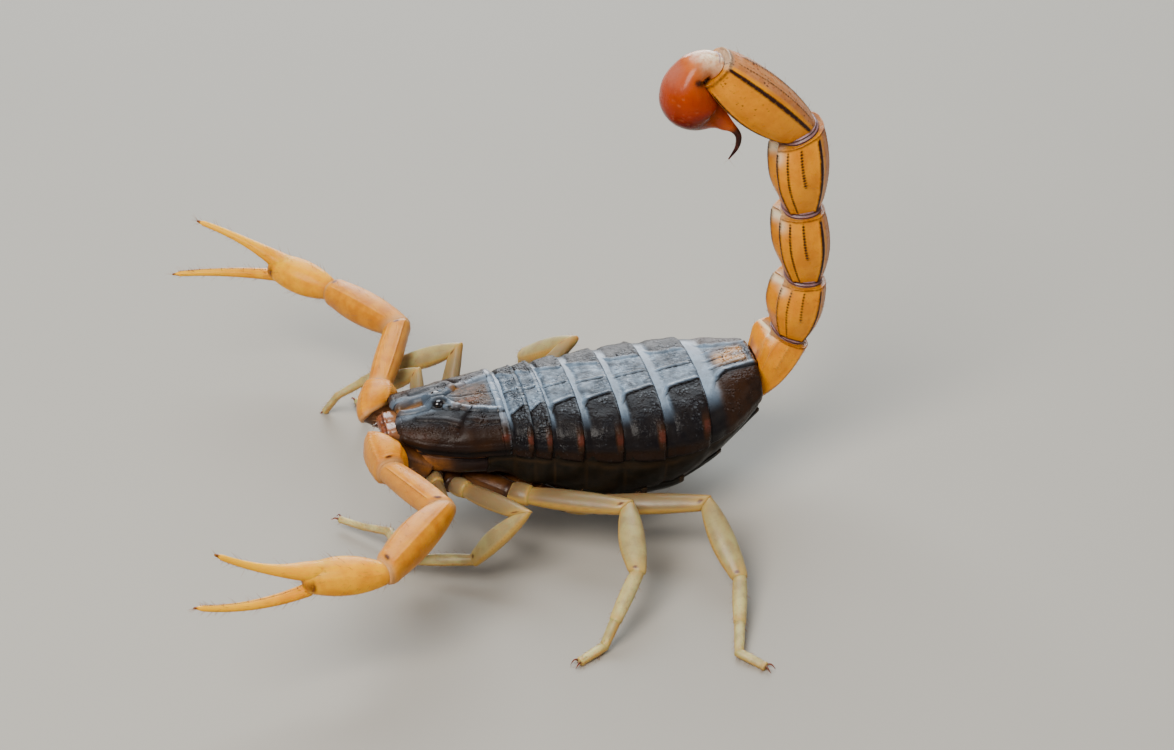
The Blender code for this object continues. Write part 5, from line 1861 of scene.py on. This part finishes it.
class ScorpionStudio(bpy.types.PropertyGroup):
    """The floor, the lights and the camera."""

    turn: bpy.props.FloatProperty(name="Camera turn", description="Camera's turn round the animal",
                                  subtype="ANGLE", default=math.radians(-14))
    rise: bpy.props.FloatProperty(name="Camera rise", description="Camera's height as an angle",
                                  subtype="ANGLE", default=math.radians(35))
    distance: bpy.props.FloatProperty(name="Camera distance", description="From camera to trunk",
                                      unit="LENGTH", default=0.2)
    lens: bpy.props.FloatProperty(name="Lens", description="Focal length in millimetres",
                                  default=81.6)
    strength: bpy.props.FloatProperty(name="Light", description="Strength of all lamps", default=1.0)
    floor: colour_setting("Floor", "Colour of the floor", (0.36, 0.335, 0.295))


# ---- Operators ----

class SCORPION_OT_shield(bpy.types.Operator):
    """Build the front shield"""

    bl_idname = "scorpion.shield"
    bl_label = "Front shield"

    def execute(self, context):
        make_shield(shell_material(context.scene.scorpion_colours))
        return {"FINISHED"}


class SCORPION_OT_eyes(bpy.types.Operator):
    """Build the two large eyes and the small side eyes"""

    bl_idname = "scorpion.eyes"
    bl_label = "Eyes"

    def execute(self, context):
        make_eyes(eye_material())
        return {"FINISHED"}


class SCORPION_OT_jaws(bpy.types.Operator):
    """Build the two jaws"""

    bl_idname = "scorpion.jaws"
    bl_label = "Jaws"

    def execute(self, context):
        make_jaws(jaw_material(context.scene.scorpion_colours))
        return {"FINISHED"}


class SCORPION_OT_trunk(bpy.types.Operator):
    """Build the back plates, the belly plates and the soft skin between them"""

    bl_idname = "scorpion.trunk"
    bl_label = "Trunk"

    def execute(self, context):
        make_tergites(bpy.data.materials["Back plates"])
        belly = belly_material(context.scene.scorpion_colours)
        make_body_wall(belly)
        make_sternites(belly)
        return {"FINISHED"}


class SCORPION_OT_underside(bpy.types.Operator):
    """Build the hips and the combs"""

    bl_idname = "scorpion.underside"
    bl_label = "Underside"

    def execute(self, context):
        make_hips(hips_material(context.scene.scorpion_colours))
        make_combs(comb_material(context.scene.scorpion_colours))
        return {"FINISHED"}


class SCORPION_OT_tail(bpy.types.Operator):
    """Build the five tail segments and the sting"""

    bl_idname = "scorpion.tail"
    bl_label = "Tail"

    def execute(self, context):
        colours = context.scene.scorpion_colours
        make_tail(tail_material(colours), membrane_material())
        make_telson(sting_material(colours))
        return {"FINISHED"}


class SCORPION_OT_pincers(bpy.types.Operator):
    """Build both pincers"""

    bl_idname = "scorpion.pincers"
    bl_label = "Pincers"

    def execute(self, context):
        colours = context.scene.scorpion_colours
        arms = arm_material(colours)
        hands = hand_material(colours)
        for side in SIDES:
            make_palp(side, arms, hands)
        return {"FINISHED"}


class SCORPION_OT_legs(bpy.types.Operator):
    """Build the eight legs"""

    bl_idname = "scorpion.legs"
    bl_label = "Legs"

    def execute(self, context):
        material = leg_material(context.scene.scorpion_colours)
        for side in SIDES:
            for pair in LEG_ROOTS:
                make_leg(side, pair, material)
        return {"FINISHED"}


class SCORPION_OT_bristles(bpy.types.Operator):
    """Grow the bristles on tail, pincers, jaws, legs and belly plates"""

    bl_idname = "scorpion.bristles"
    bl_label = "Bristles"

    def execute(self, context):
        material = bristle_material()
        make_bristles(material, "tail_bristles", ("metasoma", "telson"))
        make_bristles(material, "pincer_bristles", ("pedipalp", "chelicera"))
        make_bristles(material, "leg_bristles", ("_leg_", "sternite"))
        return {"FINISHED"}


class SCORPION_OT_studio(bpy.types.Operator):
    """Set up the floor, the lights and the camera"""

    bl_idname = "scorpion.studio"
    bl_label = "Studio"

    def execute(self, context):
        make_studio(context.scene, context.scene.scorpion_studio)
        return {"FINISHED"}


class SCORPION_PT_panel(bpy.types.Panel):
    """Lists what builds the scorpion"""

    bl_idname = "SCORPION_PT_panel"
    bl_label = "Scorpion"
    bl_space_type = "VIEW_3D"
    bl_region_type = "UI"
    bl_category = "Scorpion"

    def draw(self, context):
        for operator in OPERATORS:
            self.layout.operator(operator.bl_idname)
        for group in (context.scene.scorpion_colours, context.scene.scorpion_studio):
            box = self.layout.box()
            for name in group.__annotations__:
                box.prop(group, name)


# ---- Studio ----

LOOK_AT = (0.0, 0.5, 11.0)
# Lamps: direction they stand in (turn, rise), distance and size in metres, power and colour.
LAMPS = (
    ("Key", (-46, 52), 0.35, 0.2, 1.75, (1.0, 0.95, 0.88)),
    ("Back", (172, 52), 0.4, 0.34, 2.2, (0.82, 0.92, 1.0)),
    ("Rim", (166, 13), 0.45, 0.3, 1.9, (0.95, 0.97, 1.0)),
    ("Fill", (50, 28), 0.5, 0.4, 0.5, (1.0, 0.96, 0.92)),
)


FLOOR_REACH = 1.5
FLOOR_GAP = 0.00001             # keeps the floor clear of the feet
SKY_COLOUR = (0.85, 0.92, 1.0, 1)
SKY_STRENGTH = 0.12
SENSOR_WIDTH = 36


def toward(turn, rise):
    """Unit vector from the animal; turn 0 is the animal's left side and 90 its tail end."""
    return Vector((math.sin(turn) * math.cos(rise), -math.cos(turn) * math.cos(rise), math.sin(rise)))


def make_studio(scene, studio):
    target = Vector((np.array(LOOK_AT) + SHIFT) * MM)
    bm = bmesh.new()
    bmesh.ops.create_grid(bm, x_segments=8, y_segments=8, size=FLOOR_REACH)
    bmesh.ops.translate(bm, vec=(0, 0, -FLOOR_GAP), verts=bm.verts)
    floor = new_object("floor", bm, floor_material(tuple(studio.floor)))
    for name, (turn, rise), distance, size, power, colour in LAMPS:
        lamp = bpy.data.lights.new(name, "AREA")
        lamp.shape = "DISK"
        lamp.size = size
        lamp.energy = power * studio.strength
        lamp.color = colour
        way = toward(math.radians(turn), math.radians(rise))
        holder = bpy.data.objects.new(name, lamp)
        holder.location = target + way * distance
        holder.rotation_euler = way.to_track_quat("Z", "Y").to_euler()
        scene.collection.objects.link(holder)
    world = bpy.data.worlds.new("Soft light")
    world.use_nodes = True
    sky = world.node_tree.nodes["Background"]
    sky.inputs["Color"].default_value = SKY_COLOUR
    sky.inputs["Strength"].default_value = SKY_STRENGTH * studio.strength
    scene.world = world
    lens = bpy.data.cameras.new("Camera")
    lens.lens = studio.lens
    lens.sensor_width = SENSOR_WIDTH
    lens.clip_start = 0.01
    lens.clip_end = 10
    camera = bpy.data.objects.new("Camera", lens)
    way = toward(studio.turn, studio.rise)
    camera.location = target + way * studio.distance
    camera.rotation_euler = way.to_track_quat("Z", "Y").to_euler()
    scene.collection.objects.link(camera)
    scene.camera = camera


# ---- The whole ----

OPERATORS = (SCORPION_OT_shield, SCORPION_OT_eyes, SCORPION_OT_jaws, SCORPION_OT_trunk,
             SCORPION_OT_underside, SCORPION_OT_tail, SCORPION_OT_pincers, SCORPION_OT_legs,
             SCORPION_OT_bristles, SCORPION_OT_studio)
CLASSES = (ScorpionColours, ScorpionStudio, *OPERATORS, SCORPION_PT_panel)


def register():
    for part in CLASSES:
        bpy.utils.register_class(part)
    bpy.types.Scene.scorpion_colours = bpy.props.PointerProperty(type=ScorpionColours)
    bpy.types.Scene.scorpion_studio = bpy.props.PointerProperty(type=ScorpionStudio)


def unregister():
    del bpy.types.Scene.scorpion_studio
    del bpy.types.Scene.scorpion_colours
    for part in reversed(CLASSES):
        bpy.utils.unregister_class(part)


def main():
    register()
    for operator in OPERATORS:
        family, name = operator.bl_idname.split(".")
        getattr(getattr(bpy.ops, family), name)()


if __name__ == "__main__":
    main()
